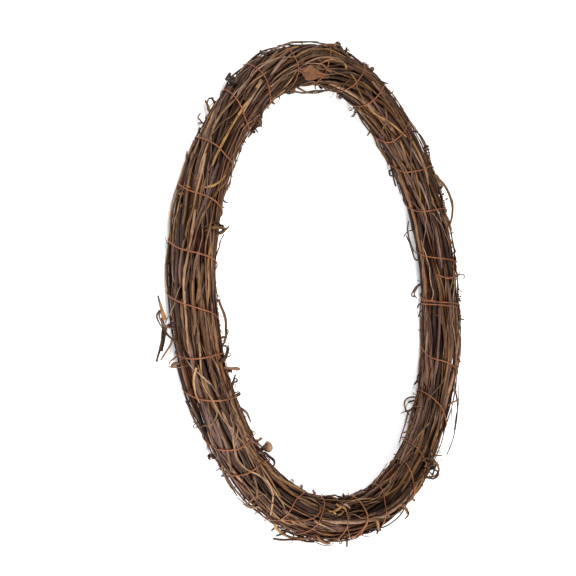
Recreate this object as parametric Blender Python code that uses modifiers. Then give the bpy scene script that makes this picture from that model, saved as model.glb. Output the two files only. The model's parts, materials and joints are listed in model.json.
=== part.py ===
"""Rattan wreath: a ring of long vines bound by one thin wire.

The ring lies flat, face up, on three pruned stubs. Angles round the ring run
from +X towards +Y. Angles round the bundle run from its outer side (0) over
the face (90) to its inner side (180) and under it (270).
"""
import math
import random

import bmesh
import bpy
import numpy as np

# Driving dimensions, in metres
MM = 0.001
RING_RADIUS = 0.183
RING_CENTRE = (0.0062, -0.0008)
BUNDLE_RADIUS = 0.0159
MID_HEIGHT = 0.0175
UNDERSIDE = 0.0022
VINE_GAP = 0.0004
WIRE_RADIUS = 0.0005
WIRE_GAP = 0.00035
FOOT_RADIUS = 0.0015
SHOOT_COLLAR = 0.0009
SHOOT_TIP = 0.7
VINE_TIP = 0.6
LEAF_THICKNESS = 0.0007

# The ring and the bundle are a little out of round: size, lobes, degrees of the first lobe
RING_WAVES = ((0.0017, 2, 135), (0.0025, 3, 76))
BUNDLE_WAVES = ((0.0007, 4, 0), (0.0005, 3, 10), (0.0003, 2, 170))

# Layers of vines: name, count, radius, distance from the bundle's middle, vines cut in two
STATIONS = 36
STATION_ANGLE = 2 * math.pi / STATIONS
LAYERS = (
    ("core_vine", 4, 0.0028, 0.0041, 0),
    ("inner_vine", 9, 0.0020, 0.0089, 0),
    ("outer_vine", 19, 0.0018, 0.0137, 6),
)
# Vines that cross the others: first station, length in stations, start round the bundle, twist
CROSSING_VINES = ((2, 15, 0.5, 1.7), (14, 14, 2.4, -1.2), (26, 13, 4.0, 1.8), (7, 10, 3.4, 1.4))
CROSSING_RADIUS = 0.0014
CROSSING_ORBIT = 0.0145
MEAN_TWIST = 0.5
TWIST_SPREAD = 0.2
SEED = 12
# Settling: rounds, pull to each vine's first place, stiffness along it, share of a push taken
SETTLING_ROUNDS = 800
HOME_PULL = 0.015
STIFFNESS = 0.3
PUSH_SHARE = 0.55
# Room for a pair of vines that cross at a slant
SLANT_ROOM = 1.03

# Ring angles where each turn of the wire meets the outer side, the face and the inner side
WIRE_TURNS = (
    (-6.5, -5.5, -5), (3.5, 7, 9.5), (18, 22.5, 24.5), (33, 35.5, 38.5),
    (48, 50.5, 49.5), (60.5, 66, 68), (71, 76, 79.5), (85.5, 92.5, 94.5),
    (104.5, 107, 110.5), (118, 121.5, 122.5), (129, 134.5, 135), (144, 146.5, 146),
    (156.5, 158, 159.5), (169, 170.5, 173), (179.5, 182.5, 187.5), (191, 191.5, 193),
    (199.5, 202, 205), (212, 214, 213.5), (219.5, 220.5, 228), (238.5, 236.5, 247.5),
    (248.5, 248.5, 255), (262.5, 261, 260.5), (270.5, 270.5, 271), (280.5, 279.5, 286.5),
    (294, 296, 301.5), (303.5, 304.5, 308.5), (319.5, 321.5, 326.5), (334.5, 336.5, 337.5),
)
# Straight steps in a turn, and where the wire's two ends lie under the ring, in degrees
WIRE_STEPS = 13
WIRE_STEP = 2 * math.pi / WIRE_STEPS
WIRE_ADVANCE = WIRE_STEP / len(WIRE_TURNS)
WIRE_START = -60
WIRE_END = 250

# Side shoots: ring angle, angle round the bundle, radius in mm, then steps from the root
# as mm along the ring, mm round the bundle and mm above the vines
SHOOTS = (
    (184.6, 316, 0.9, ((-1, 1.5, 5), (-3.5, 3, 9), (-8.5, 3, 11), (-12, 3.5, 9))),
    (187, 316, 0.9, ((3, 1, 4), (7, 3, 10), (10, 5, 16.5))),
    (192, 316, 1.1, ((0, 1, 4), (1, 2, 7))),
    (195, 112, 1.1, ((1, 1, 4), (4, 4, 10))),
    (200, 92, 0.8, ((-3, 5, 3), (-6, 10, 5))),
    (193, 88, 1.4, ((-3, 4, 3.5), (-6, 9, 4))),
    (188.5, 126, 0.6, ((-1, 0, 4), (-4, 0, 6), (-7, 0, 5))),
    (164, 126, 0.9, ((-1, 0, 3), (-6, 0, 7))),
    (133, 326, 1.2, ((-1, 2, 4), (-3, 3, 8))),
    (137, 324, 0.7, ((0, 1, 3), (-1, 2, 6), (-5, 2, 6))),
    (148, 328, 0.7, ((0, 0, 3), (-4, 0, 4))),
    (112, 20, 1.0, ((-2, -3, 3), (-5, -6, 4))),
    (84, 52, 1.4, ((-1, -3, 3.5), (-4, -8, 6))),
    (70, 46, 1.3, ((-1, -1, 3.5),)),
    (129.5, 142, 0.9, ((2, 0, 4), (4, 1, 7))),
    (126.5, 150, 0.8, ((1, 0, 3), (3, 2, 6))),
    (107, 166, 1.4, ((1, 0, 4.5),)),
    (105, 156, 0.8, ((-5, 1, 4), (-21, 4, 8), (-41, 6, 8), (-55, 5, 5.5), (-63, 4, 3))),
    (64.5, 216, 0.6, ((-1, 0, 3), (-2, 0, 7), (1, 0, 8.5))),
    (56, 220, 0.9, ((0, -1, 4.5), (1, -2, 10))),
    (46.5, 76, 0.8, ((-6, -3, 3), (-14, -5, 4.5), (-25, -4, 4.5), (-32, -2, 2.5))),
    (31.5, 72, 1.4, ((-6, -2, 4), (-16, -3, 8), (-30, -3, 9), (-40, -1, 6), (-46, 1, 2.6))),
    (38.5, 226, 1.0, ((0, 0, 4), (-4, 0, 5), (-6, 0, 3))),
    (8.5, 226, 0.9, ((4, -0.5, 3.5), (12, -1.5, 5), (20, -2.5, 7), (28, -3.5, 10))),
    (0.5, 226, 0.7, ((-1, -1, 4), (-4, -3, 8), (-9, -5, 13), (-13, -3, 8))),
    (352.5, 230, 0.8, ((-2, -1, 3), (-6, -3, 6))),
    (350.5, 62, 1.0, ((-1, 0, 5),)),
    (2.5, 62, 0.6, ((0, 0, 4), (-1, 0, 8), (-4, 0, 7))),
    (331, 214, 1.1, ((-1, 0, 3), (-4, 1, 5))),
    (326, 225, 0.8, ((-1, 0, 5), (-6, -2, 10), (-13, -4, 13), (-20, -2, 8))),
    (322, 224, 0.7, ((-2, 0.5, 4), (-5, 0.5, 5), (-17, 1.5, 4.5), (-30, 2, 4.2), (-38, 2, 3))),
    (330.5, 76, 0.7, ((-3, -3, 4), (-10, -5, 7), (-22, -5, 9), (-38, -6, 11), (-54, -6, 10.5))),
    (308, 70, 1.0, ((1, -1, 4), (3, -4, 7))),
    (310.5, 66, 0.9, ((2, -2, 3.5), (4, -3, 6))),
    (289, 62, 1.1, ((1, -3, 3.5), (3, -7, 6.5))),
    (274.5, 55, 1.1, ((1, -3, 3.5), (5, -7, 5))),
    (266.5, 20, 1.1, ((1, -1, 4), (2, -2, 6.5))),
    (220.5, 145, 1.4, ((1, 0, 4), (3, 0, 8))),
    (217.5, 136, 1.0, ((-1, 0, 5),)),
    (248.3, 150, 1.0, ((2, 3, 3), (4, 5, 4.5))),
    (256, 112, 0.9, ((1, 0, 3), (4, 2, 5))),
    (245, 342, 1.0, ((-1, 0, 4), (-6, -1, 8.5))),
    (229.5, 340, 1.0, ((1, -1, 3.5), (2, -3, 5.5))),
    (241.5, 335, 1.0, ((0, 0, 3.5), (0, -1, 7))),
)
# Three pruned stubs under the ring that it rests on, by ring angle
FEET = (91, 212.5, 338)

# The leaf scrap on the face: ring angles and angles round the bundle of its middle,
# its half length along the ring, its half width round the bundle and its curl
LEAF_PLACE = (99.8, 117)
LEAF_HALF_LENGTH = 0.0185
LEAF_HALF_WIDTH = 0.0066
LEAF_SLANT = -0.6
LEAF_CURL = 0.0012
LEAF_LIFT = 0.0010
LEAF_SPLITS = 8

COLOURS = {
    "dark_bark": ((0.085, 0.055, 0.040), 0.85, 0.0),
    "brown_bark": ((0.17, 0.105, 0.062), 0.80, 0.0),
    "tan_bark": ((0.34, 0.215, 0.115), 0.75, 0.0),
    "copper_wire": ((0.50, 0.20, 0.09), 0.45, 0.9),
    "dry_leaf": ((0.33, 0.13, 0.05), 0.80, 0.0),
}


def waves(angle, shape):
    """Sum of the lobes that take a radius out of round."""
    return sum(size * np.cos(lobes * (angle - math.radians(first))) for size, lobes, first in shape)


def ring_radius(angle):
    return RING_RADIUS + waves(angle, RING_WAVES)


def bundle_radius(angle):
    return np.round(BUNDLE_RADIUS + waves(angle, BUNDLE_WAVES), 6)


def world(angle, out, up):
    """Point outward and upward of the bundle's middle, which is straight between stations."""
    step = angle / STATION_ANGLE
    low = math.floor(step + 1e-9)
    part = step - low
    ends = []
    for turn in (low * STATION_ANGLE, (low + 1) * STATION_ANGLE):
        radius = ring_radius(turn) + out
        ends.append(np.array([RING_CENTRE[0] + radius * math.cos(turn),
                              RING_CENTRE[1] + radius * math.sin(turn), MID_HEIGHT + up]))
    return tuple(ends[0] * (1 - part) + ends[1] * part)


class Vine:
    """A vine's stations round the ring, and its place in the bundle at each of them."""

    def __init__(self, name, radius, start, span, orbit, phase, twist, rng):
        steps = start + np.arange(span + 1)
        angle = STATION_ANGLE * steps
        wander = rng.uniform(0.15, 0.4) * np.sin(angle * rng.uniform(1.2, 3.0) + rng.uniform(0, 6.3))
        turn = phase + twist * angle + wander
        swell = 1 + 0.1 * np.sin(3 * angle + rng.uniform(0, 6.3))
        out = orbit * swell * bundle_radius(angle) / BUNDLE_RADIUS
        self.name = name
        self.radius = radius
        self.stations = steps % STATIONS
        self.place = np.round(np.stack([out * np.cos(turn), out * np.sin(turn)], 1), 6)
        self.bark = rng.choice(("dark_bark", "dark_bark", "brown_bark", "brown_bark", "tan_bark"))
        self.shoots = []


def plan_vines():
    """Every vine in its layer, before the bundle is pressed together."""
    rng = random.Random(SEED)
    vines = []
    for name, count, radius, orbit, cut in LAYERS:
        for k in range(count):
            start = rng.randrange(STATIONS)
            twist = MEAN_TWIST + rng.gauss(0, TWIST_SPREAD)
            spans = [STATIONS - rng.randint(2, 4)]
            if k % 3 == 0 and k // 3 < cut:
                first = rng.randint(11, 20)
                spans = [first, STATIONS - first - rng.randint(2, 4)]
            for span in spans:
                number = 1 + sum(vine.name.startswith(name) for vine in vines)
                thick = radius * rng.uniform(0.88, 1.12)
                phase = 2 * math.pi * k / count
                vines.append(Vine(f"{name}_{number:02d}", thick, start, span, orbit, phase, twist, rng))
                start += span + 1
    for k, (start, span, phase, twist) in enumerate(CROSSING_VINES):
        name = f"crossing_vine_{k + 1}"
        vines.append(Vine(name, CROSSING_RADIUS, start, span, CROSSING_ORBIT, phase, twist, rng))
    return vines


def settle(vines):
    """Push the vines apart until none touches, inside the bundle and above its underside."""
    count = len(vines)
    place = np.zeros((count, STATIONS, 2))
    stays = np.zeros((count, STATIONS), bool)
    runs = np.zeros((count, STATIONS), bool)
    for row, vine in enumerate(vines):
        place[row, vine.stations] = vine.place
        stays[row, vine.stations] = True
        runs[row, vine.stations[:-1]] = True
    inside = (runs & np.roll(runs, 1, 1))[..., None]
    home = place.copy()
    radius = np.array([vine.radius for vine in vines])
    one, other = np.triu_indices(count, 1)
    need = ((radius[one] + radius[other]) * SLANT_ROOM + VINE_GAP)[:, None]
    meet = stays[one] & stays[other]
    both = runs[one] & runs[other]
    limit = bundle_radius(STATION_ANGLE * np.arange(STATIONS)) - radius[:, None]
    lowest = UNDERSIDE - MID_HEIGHT + radius[:, None]
    for k in range(SETTLING_ROUNDS):
        ease = max(0.0, 1 - 2 * k / SETTLING_ROUNDS)
        place += (home - place) * HOME_PULL * ease
        middle = (np.roll(place, 1, 1) + np.roll(place, -1, 1)) / 2
        place = np.where(inside, place + (middle - place) * STIFFNESS * ease, place)
        # Nearest approach of each pair of vines between one station and the next
        after = np.roll(place, -1, 1)
        apart = place[one] - place[other]
        change = after[one] - after[other] - apart
        part = -(apart * change).sum(-1) / np.maximum((change ** 2).sum(-1), 1e-12)
        part = np.where(both, np.clip(part, 0, 1), 0)
        nearest = apart + change * part[..., None]
        distance = np.maximum(np.sqrt((nearest ** 2).sum(-1)), 1e-6)
        short = np.where(meet, np.maximum(need - distance, 0), 0)
        push = 0.5 * nearest * (short / distance / ((1 - part) ** 2 + part ** 2))[..., None]
        here = np.zeros_like(place)
        ahead = np.zeros_like(place)
        np.add.at(here, one, push * (1 - part)[..., None])
        np.add.at(here, other, -push * (1 - part)[..., None])
        np.add.at(ahead, one, push * part[..., None])
        np.add.at(ahead, other, -push * part[..., None])
        place = place + PUSH_SHARE * (here + np.roll(ahead, 1, 1))
        reach = np.maximum(np.sqrt((place ** 2).sum(-1)), 1e-6)
        place *= np.minimum(1, limit / reach)[..., None]
        place[..., 1] = np.maximum(place[..., 1], lowest)
    for row, vine in enumerate(vines):
        vine.place = place[row, vine.stations]


def section(vines, angle):
    """The vines that pass a ring angle, each with its place there."""
    step = (angle / STATION_ANGLE) % STATIONS
    low = int(step)
    found = []
    for vine in vines:
        at = np.flatnonzero(vine.stations[:-1] == low)
        if len(at):
            first, second = vine.place[at[0]], vine.place[at[0] + 1]
            found.append((vine, first + (second - first) * (step - low)))
    return found


def outermost(vines, angle, around):
    """The vine that reaches furthest that way round the bundle, its place and its reach."""
    normal = np.array([math.cos(around), math.sin(around)])
    vine, place = max(section(vines, angle), key=lambda pair: pair[1] @ normal + pair[0].radius)
    return vine, place, place @ normal + vine.radius


def above(vines, angle, around, height):
    """Point at a height over the vines."""
    distance = outermost(vines, angle, around)[2] + height
    return world(angle, distance * math.cos(around), distance * math.sin(around))


def shoot_path(vines, angle, around, radius, steps):
    """A shoot leaves its vine straight outward and then follows its steps."""
    vine, place, _ = outermost(vines, angle, around)
    normal = np.array([math.cos(around), math.sin(around)])
    clear = place + normal * (vine.radius + radius + SHOOT_COLLAR)
    exit_angle = math.atan2(clear[1], clear[0])
    path = [world(angle, *place), world(angle, *clear)]
    for along, aside, height in steps:
        path.append(above(vines, angle + along * MM / RING_RADIUS,
                          exit_angle + aside * MM / BUNDLE_RADIUS, height * MM))
    return vine, path


def foot_path(vines, angle):
    """A pruned stub that goes straight down to the floor."""
    vine, place, _ = outermost(vines, angle, math.radians(270))
    top = world(angle, *place)
    return vine, [top, (top[0], top[1], 0.0)]


def wire_angle(turn):
    """Ring angle of the wire after so many turns from the face of the first."""
    number = math.floor(turn + 0.25)
    part = turn + 0.25 - number
    outer, face, inner = WIRE_TURNS[number % len(WIRE_TURNS)]
    following = WIRE_TURNS[(number + 1) % len(WIRE_TURNS)][0]
    following += 360 * ((number + 1) // len(WIRE_TURNS))
    lap = 360 * (number // len(WIRE_TURNS))
    return math.radians(np.interp(part, (0, 0.25, 0.5, 1), (outer + lap, face + lap, inner + lap, following)))


def wire_path(vines):
    """A taut polygon of straight steps that rests on the outermost vines."""
    path = []
    whole = math.radians(360 * (len(WIRE_TURNS) - 1) + WIRE_END - WIRE_START)
    for k in range(int(whole / WIRE_STEP)):
        around = math.radians(WIRE_START) + (k + 0.5) * WIRE_STEP
        angle = wire_angle(around / (2 * math.pi) - 0.25)
        sides = []
        for side in (around - WIRE_STEP / 2, around + WIRE_STEP / 2):
            normal = (math.cos(side), math.sin(side))
            nearby = (angle - WIRE_ADVANCE, angle, angle + WIRE_ADVANCE)
            reach = max(outermost(vines, near, side)[2] for near in nearby)
            sides.append((normal, reach + WIRE_GAP + WIRE_RADIUS))
        corner = np.linalg.solve([normal for normal, _ in sides], [reach for _, reach in sides])
        path.append(world(angle, *corner))
    return path


def material(name):
    found = bpy.data.materials.get(name)
    if found:
        return found
    colour, roughness, metallic = COLOURS[name]
    made = bpy.data.materials.new(name)
    made.use_nodes = True
    shader = made.node_tree.nodes["Principled BSDF"]
    shader.inputs["Base Color"].default_value = (*colour, 1)
    shader.inputs["Roughness"].default_value = roughness
    shader.inputs["Metallic"].default_value = metallic
    made.diffuse_color = (*colour, 1)
    return made


def tube(name, points, radius, sides, home, tip=1.0):
    """A round stem along points, as a closed mesh; its last points narrow to the tip."""
    curve = bpy.data.curves.new(name, "CURVE")
    curve.dimensions = "3D"
    curve.bevel_depth = radius
    curve.bevel_resolution = (sides - 4) // 2
    curve.use_fill_caps = True
    spline = curve.splines.new("POLY")
    spline.points.add(len(points) - 1)
    for k, (point, place) in enumerate(zip(spline.points, points)):
        point.co = (*place, 1)
        left = len(points) - 1 - k
        point.radius = tip + (1 - tip) * min(1, left / 3)
    source = bpy.data.objects.new(name, curve)
    home.objects.link(source)
    evaluated = source.evaluated_get(bpy.context.evaluated_depsgraph_get())
    mesh = bpy.data.meshes.new_from_object(evaluated)
    bpy.data.objects.remove(source)
    bpy.data.curves.remove(curve)
    shape = bmesh.new()
    shape.from_mesh(mesh)
    bmesh.ops.remove_doubles(shape, verts=shape.verts, dist=0.00001)
    bmesh.ops.recalc_face_normals(shape, faces=shape.faces)
    shape.to_mesh(mesh)
    shape.free()
    mesh.name = name
    stem = bpy.data.objects.new(name, mesh)
    home.objects.link(stem)
    return stem


def finish_round(item, bark):
    item.data.materials.clear()
    item.data.materials.append(material(bark))
    item.data.shade_smooth()
    item.data.set_sharp_from_angle(angle=math.radians(50))


def join_shoots(stem, shoots):
    """Fuse a vine and its shoots into one closed body."""
    union = stem.modifiers.new("shoots", "BOOLEAN")
    union.operation = "UNION"
    union.operand_type = "COLLECTION"
    union.solver = "EXACT"
    union.collection = shoots
    evaluated = stem.evaluated_get(bpy.context.evaluated_depsgraph_get())
    mesh = bpy.data.meshes.new_from_object(evaluated)
    stem.modifiers.clear()
    stem.data = mesh
    for item in list(shoots.objects):
        bpy.data.objects.remove(item)


def build_vine(vine, wreath, shoots):
    points = [world(STATION_ANGLE * station, *place)
              for station, place in zip(vine.stations, vine.place)]
    visible = vine.name.startswith(("outer", "crossing"))
    stem = tube(vine.name, points, vine.radius, 6 if visible else 4, wreath, VINE_TIP)
    for number, (path, radius, sides, tip) in enumerate(vine.shoots):
        tube(f"{vine.name}_shoot_{number}", path, radius, sides, shoots, tip)
    if vine.shoots:
        join_shoots(stem, shoots)
    finish_round(stem, vine.bark)


def build_leaf(vines, wreath):
    """A dry scrap with four corners, bent over the vines that it lies on."""
    middle = [math.radians(degrees) for degrees in LEAF_PLACE]
    shape = bmesh.new()
    rows = []
    for i in range(LEAF_SPLITS + 1):
        along = 2 * i / LEAF_SPLITS - 1
        half = LEAF_HALF_WIDTH * max(0.12, 1 - abs(along))
        row = []
        for aside in (-1, 0, 1):
            angle = middle[0] + along * LEAF_HALF_LENGTH / RING_RADIUS
            shift = aside * half + LEAF_SLANT * along * LEAF_HALF_WIDTH
            around = middle[1] + shift / BUNDLE_RADIUS
            height = LEAF_LIFT + LEAF_CURL * along * along
            row.append(shape.verts.new(above(vines, angle, around, height)))
        rows.append(row)
    for low, high in zip(rows, rows[1:]):
        for k in range(2):
            shape.faces.new((low[k], low[k + 1], high[k + 1]))
            shape.faces.new((low[k], high[k + 1], high[k]))
    bmesh.ops.recalc_face_normals(shape, faces=shape.faces)
    mesh = bpy.data.meshes.new("dry_leaf")
    shape.to_mesh(mesh)
    shape.free()
    leaf = bpy.data.objects.new("dry_leaf", mesh)
    wreath.objects.link(leaf)
    shell = leaf.modifiers.new("thickness", "SOLIDIFY")
    shell.thickness = LEAF_THICKNESS
    shell.offset = 0
    mesh.materials.append(material("dry_leaf"))


def main():
    for item in list(bpy.data.objects):
        bpy.data.objects.remove(item)
    wreath = bpy.data.collections.new("rattan_wreath")
    shoots = bpy.data.collections.new("shoots_to_fuse")
    for collection in (wreath, shoots):
        bpy.context.scene.collection.children.link(collection)
    vines = plan_vines()
    settle(vines)
    for ring, around, radius, steps in SHOOTS:
        vine, path = shoot_path(vines, math.radians(ring), math.radians(around), radius * MM, steps)
        vine.shoots.append((path, radius * MM, 4, SHOOT_TIP))
    for ring in FEET:
        vine, path = foot_path(vines, math.radians(ring))
        vine.shoots.append((path, FOOT_RADIUS, 6, 1.0))
    for vine in vines:
        build_vine(vine, wreath, shoots)
    wire = tube("binding_wire", wire_path(vines), WIRE_RADIUS, 4, wreath)
    finish_round(wire, "copper_wire")
    build_leaf(vines, wreath)
    bpy.data.collections.remove(shoots)


main()
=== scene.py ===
"""Rattan wreath: long vines bound into a ring by one thin wire, finished for close views.

The ring lies flat, face up. Angles round the ring run from +X towards +Y. Angles round
the bundle run from its outer side (0) over the face (90) to its inner side (180) and
under it (270). Sizes are in metres unless a name or a comment says mm.
"""
import collections
import functools
import json
import math
import random

import bpy
import numpy as np
from mathutils import Matrix, Vector

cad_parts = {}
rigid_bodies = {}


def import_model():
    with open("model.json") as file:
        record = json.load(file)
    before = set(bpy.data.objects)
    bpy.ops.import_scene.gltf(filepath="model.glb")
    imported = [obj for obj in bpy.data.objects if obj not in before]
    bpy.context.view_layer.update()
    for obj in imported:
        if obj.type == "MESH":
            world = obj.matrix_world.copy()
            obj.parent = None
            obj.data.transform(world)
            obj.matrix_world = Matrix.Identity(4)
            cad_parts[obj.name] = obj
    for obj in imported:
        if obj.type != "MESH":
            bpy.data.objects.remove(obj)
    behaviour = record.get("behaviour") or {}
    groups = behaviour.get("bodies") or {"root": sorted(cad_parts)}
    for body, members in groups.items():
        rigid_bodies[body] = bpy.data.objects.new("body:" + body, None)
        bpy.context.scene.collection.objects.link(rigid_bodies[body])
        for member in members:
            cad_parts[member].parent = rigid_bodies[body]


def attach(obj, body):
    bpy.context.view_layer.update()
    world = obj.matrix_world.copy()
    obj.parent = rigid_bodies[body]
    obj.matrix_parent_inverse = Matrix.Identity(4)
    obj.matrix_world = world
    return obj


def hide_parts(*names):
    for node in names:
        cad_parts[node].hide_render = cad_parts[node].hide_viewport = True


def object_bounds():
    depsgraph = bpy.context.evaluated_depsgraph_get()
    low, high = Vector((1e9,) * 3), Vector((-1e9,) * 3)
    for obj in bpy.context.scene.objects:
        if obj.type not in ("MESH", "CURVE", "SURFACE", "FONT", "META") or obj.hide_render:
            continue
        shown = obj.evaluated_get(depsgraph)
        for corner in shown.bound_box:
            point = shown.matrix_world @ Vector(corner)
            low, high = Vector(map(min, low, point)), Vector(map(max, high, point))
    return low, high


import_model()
CAD_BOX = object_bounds()

bl_info = {
    "name": "Rattan wreath",
    "version": (1, 0, 0),
    "blender": (4, 5, 0),
    "location": "View3D > Sidebar > Wreath",
    "description": "A ring of bound vines with shoots, tendrils, wire and a leaf scrap",
    "category": "Object",
}

# The ring and its bundle, as in the part's own source
MM = 0.001
RING_RADIUS = 0.183
RING_CENTRE = (0.0062, -0.0008)
BUNDLE_RADIUS = 0.0159
MID_HEIGHT = 0.0175
UNDERSIDE = 0.0022
VINE_GAP = 0.0004
WIRE_RADIUS = 0.0005
WIRE_GAP = 0.00005
FOOT_RADIUS = 0.0015
SHOOT_COLLAR = 0.0009
RING_WAVES = ((0.0017, 2, 135), (0.0025, 3, 76))
BUNDLE_WAVES = ((0.0007, 4, 0), (0.0005, 3, 10), (0.0003, 2, 170))
STATIONS = 36
STATION_ANGLE = math.tau / STATIONS
LAYERS = (
    ("core_vine", 4, 0.0028, 0.0041, 0),
    ("inner_vine", 9, 0.0020, 0.0089, 0),
    ("outer_vine", 19, 0.0018, 0.0137, 6),
)
CROSSING_VINES = ((2, 15, 0.5, 1.7), (14, 14, 2.4, -1.2), (26, 13, 4.0, 1.8), (7, 10, 3.4, 1.4))
CROSSING_RADIUS = 0.0014
CROSSING_ORBIT = 0.0145
MEAN_TWIST = 0.5
TWIST_SPREAD = 0.2
SEED = 12
SETTLING_ROUNDS = 800
HOME_PULL = 0.015
STIFFNESS = 0.3
PUSH_SHARE = 0.55
SLANT_ROOM = 1.03

# Ring angles where each turn of the wire meets the outer side, the face and the inner side
WIRE_TURNS = (
    (-6.5, -5.5, -5), (3.5, 7, 9.5), (18, 22.5, 24.5), (33, 35.5, 38.5),
    (48, 50.5, 49.5), (60.5, 66, 68), (71, 76, 79.5), (85.5, 92.5, 94.5),
    (104.5, 107, 110.5), (118, 121.5, 122.5), (129, 134.5, 135), (144, 146.5, 146),
    (156.5, 158, 159.5), (169, 170.5, 173), (179.5, 182.5, 187.5), (191, 191.5, 193),
    (199.5, 202, 205), (212, 214, 213.5), (219.5, 220.5, 228), (238.5, 236.5, 247.5),
    (248.5, 248.5, 255), (262.5, 261, 260.5), (270.5, 270.5, 271), (280.5, 279.5, 286.5),
    (294, 296, 301.5), (303.5, 304.5, 308.5), (319.5, 321.5, 326.5), (334.5, 336.5, 337.5),
)

# Stray runs of the wire: ring angle and angle round the bundle of each point
WIRE_STRAYS = (
    ((2, 62), (2.6, 75), (2.2, 96), (2.0, 121), (2.6, 138), (3.4, 153)),
    ((355.9, 214), (355.6, 196), (355.5, 183), (355.3, 164)),
    ((354.9, 225), (354.4, 190), (354.0, 153), (353.6, 118), (353.3, 85)),
    ((238, 20), (241, 42), (244.5, 62), (247, 84), (248.2, 104)),
    ((268, 22), (269, 50), (269.6, 84), (270, 120), (269.4, 150)),
)
WIRE_STEPS = 48
WIRE_START = -60
WIRE_END = 250

# Side shoots: ring angle, angle round the bundle, radius in mm, then steps from the root
# as mm along the ring, mm round the bundle and mm above the vines
SHOOTS = (
    (184.6, 316, 0.9, ((-1, 1.5, 5), (-3.5, 3, 9), (-8.5, 3, 11), (-12, 3.5, 9))),
    (187, 316, 0.9, ((3, 1, 4), (7, 3, 10), (10, 5, 16.5))),
    (192, 316, 1.1, ((0, 1, 4), (1, 2, 7))),
    (195, 112, 1.1, ((1, 1, 4), (4, 4, 10))),
    (200, 92, 0.8, ((-3, 5, 3), (-6, 10, 5))),
    (193, 88, 1.4, ((-3, 4, 3.5), (-6, 9, 4))),
    (188.5, 126, 0.6, ((-1, 0, 4), (-4, 0, 6), (-7, 0, 5))),
    (164, 126, 0.9, ((-1, 0, 3), (-6, 0, 7))),
    (133, 326, 1.2, ((-1, 2, 4), (-3, 3, 8))),
    (137, 324, 0.7, ((0, 1, 3), (-1, 2, 6), (-5, 2, 6))),
    (148, 328, 0.7, ((0, 0, 3), (-4, 0, 4))),
    (112, 20, 1.0, ((-2, -3, 3), (-5, -6, 4))),
    (84, 52, 1.4, ((-1, -3, 3.5), (-4, -8, 6))),
    (70, 46, 1.3, ((-1, -1, 3.5),)),
    (129.5, 142, 0.9, ((2, 0, 4), (4, 1, 7))),
    (126.5, 150, 0.8, ((1, 0, 3), (3, 2, 6))),
    (107, 166, 1.4, ((1, 0, 4.5),)),
    (105, 156, 0.8, ((-5, 1, 4), (-21, 4, 8), (-41, 6, 8), (-55, 5, 5.5), (-63, 4, 3))),
    (64.5, 216, 0.6, ((-1, 0, 3), (-2, 0, 7), (1, 0, 8.5))),
    (56, 220, 0.9, ((0, -1, 4.5), (1, -2, 10))),
    (46.5, 76, 0.8, ((-6, -3, 3), (-14, -5, 4.5), (-25, -4, 4.5), (-32, -2, 2.5))),
    (31.5, 72, 1.4, ((-6, -2, 4), (-16, -3, 8), (-30, -3, 9), (-40, -1, 6), (-46, 1, 2.6))),
    (38.5, 226, 1.0, ((0, 0, 4), (-4, 0, 5), (-6, 0, 3))),
    (8.5, 226, 0.9, ((4, -0.5, 3.5), (12, -1.5, 5), (20, -2.5, 7), (28, -3.5, 10))),
    (0.5, 226, 0.7, ((-1, -1, 4), (-4, -3, 8), (-9, -5, 13), (-13, -3, 8))),
    (352.5, 230, 0.8, ((-2, -1, 3), (-6, -3, 6))),
    (350.5, 62, 1.0, ((-1, 0, 5),)),
    (2.5, 62, 0.6, ((0, 0, 4), (-1, 0, 8), (-4, 0, 7))),
    (331, 214, 1.1, ((-1, 0, 3), (-4, 1, 5))),
    (326, 225, 0.8, ((-1, 0, 5), (-6, -2, 10), (-13, -4, 13), (-20, -2, 8))),
    (322, 224, 0.7, ((-2, 0.5, 4), (-5, 0.5, 5), (-17, 1.5, 4.5), (-30, 2, 4.2), (-38, 2, 3))),
    (330.5, 76, 0.7, ((-3, -3, 4), (-10, -5, 7), (-22, -5, 9), (-38, -6, 11), (-54, -6, 10.5))),
    (308, 70, 1.0, ((1, -1, 4), (3, -4, 7))),
    (310.5, 66, 0.9, ((2, -2, 3.5), (4, -3, 6))),
    (289, 62, 1.1, ((1, -3, 3.5), (3, -7, 6.5))),
    (274.5, 55, 1.1, ((1, -3, 3.5), (5, -7, 5))),
    (266.5, 20, 1.1, ((1, -1, 4), (2, -2, 6.5))),
    (220.5, 145, 1.4, ((1, 0, 4), (3, 0, 8))),
    (217.5, 136, 1.0, ((-1, 0, 5),)),
    (248.3, 150, 1.0, ((2, 3, 3), (4, 5, 4.5))),
    (256, 112, 0.9, ((1, 0, 3), (4, 2, 5))),
    (245, 342, 1.0, ((-1, 0, 4), (-6, -1, 8.5))),
    (229.5, 340, 1.0, ((1, -1, 3.5), (2, -3, 5.5))),
    (241.5, 335, 1.0, ((0, 0, 3.5), (0, -1, 7))),
)
FEET = (91, 212.5, 338)

# Shoots that end in a burl and a pale cut: the burl's distance from the tip and its width, and by the
# ring angle of the shoot, its swelling as a share of the shoot's radius
BURL_PLACE = 0.0026
BURL_WIDTH = 0.003
BURL_TONE = 0.13
CUT_WIDTH = 0.004
BURLS = {220.5: 2.4, 84: 0.9, 107: 1.1, 70: 0.8, 192: 0.7, 195: 0.5, 112: 0.5}

# Bark along a stem: where on it each next stem starts in metres, the mean and spread of its warmth, and
# how much warmer a pale stem is
STEM_SHIFT = 1.37
WARMTH = (0.5, 0.42)
PALE_WARMTH = 0.4

# Edges sharper than this are shaded as edges
SHADE_ANGLE = math.radians(55)

# Sides of a vine's section, steps from one station to the next, and its swelling at the nodes
HIDDEN_VINE = (6, 8, 0.2)
PLAIN_VINE = (9, 16, 0.26)
LUMP_SIZE = 0.0035
THIN_LUMP_SIZE = 0.003
THIN_LUMP_SHARE = 0.8
THIN_SIDES = 7
SMALL_SIDES = 6
WIRE_SIDES = 8
RIDGES = 0.045

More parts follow.
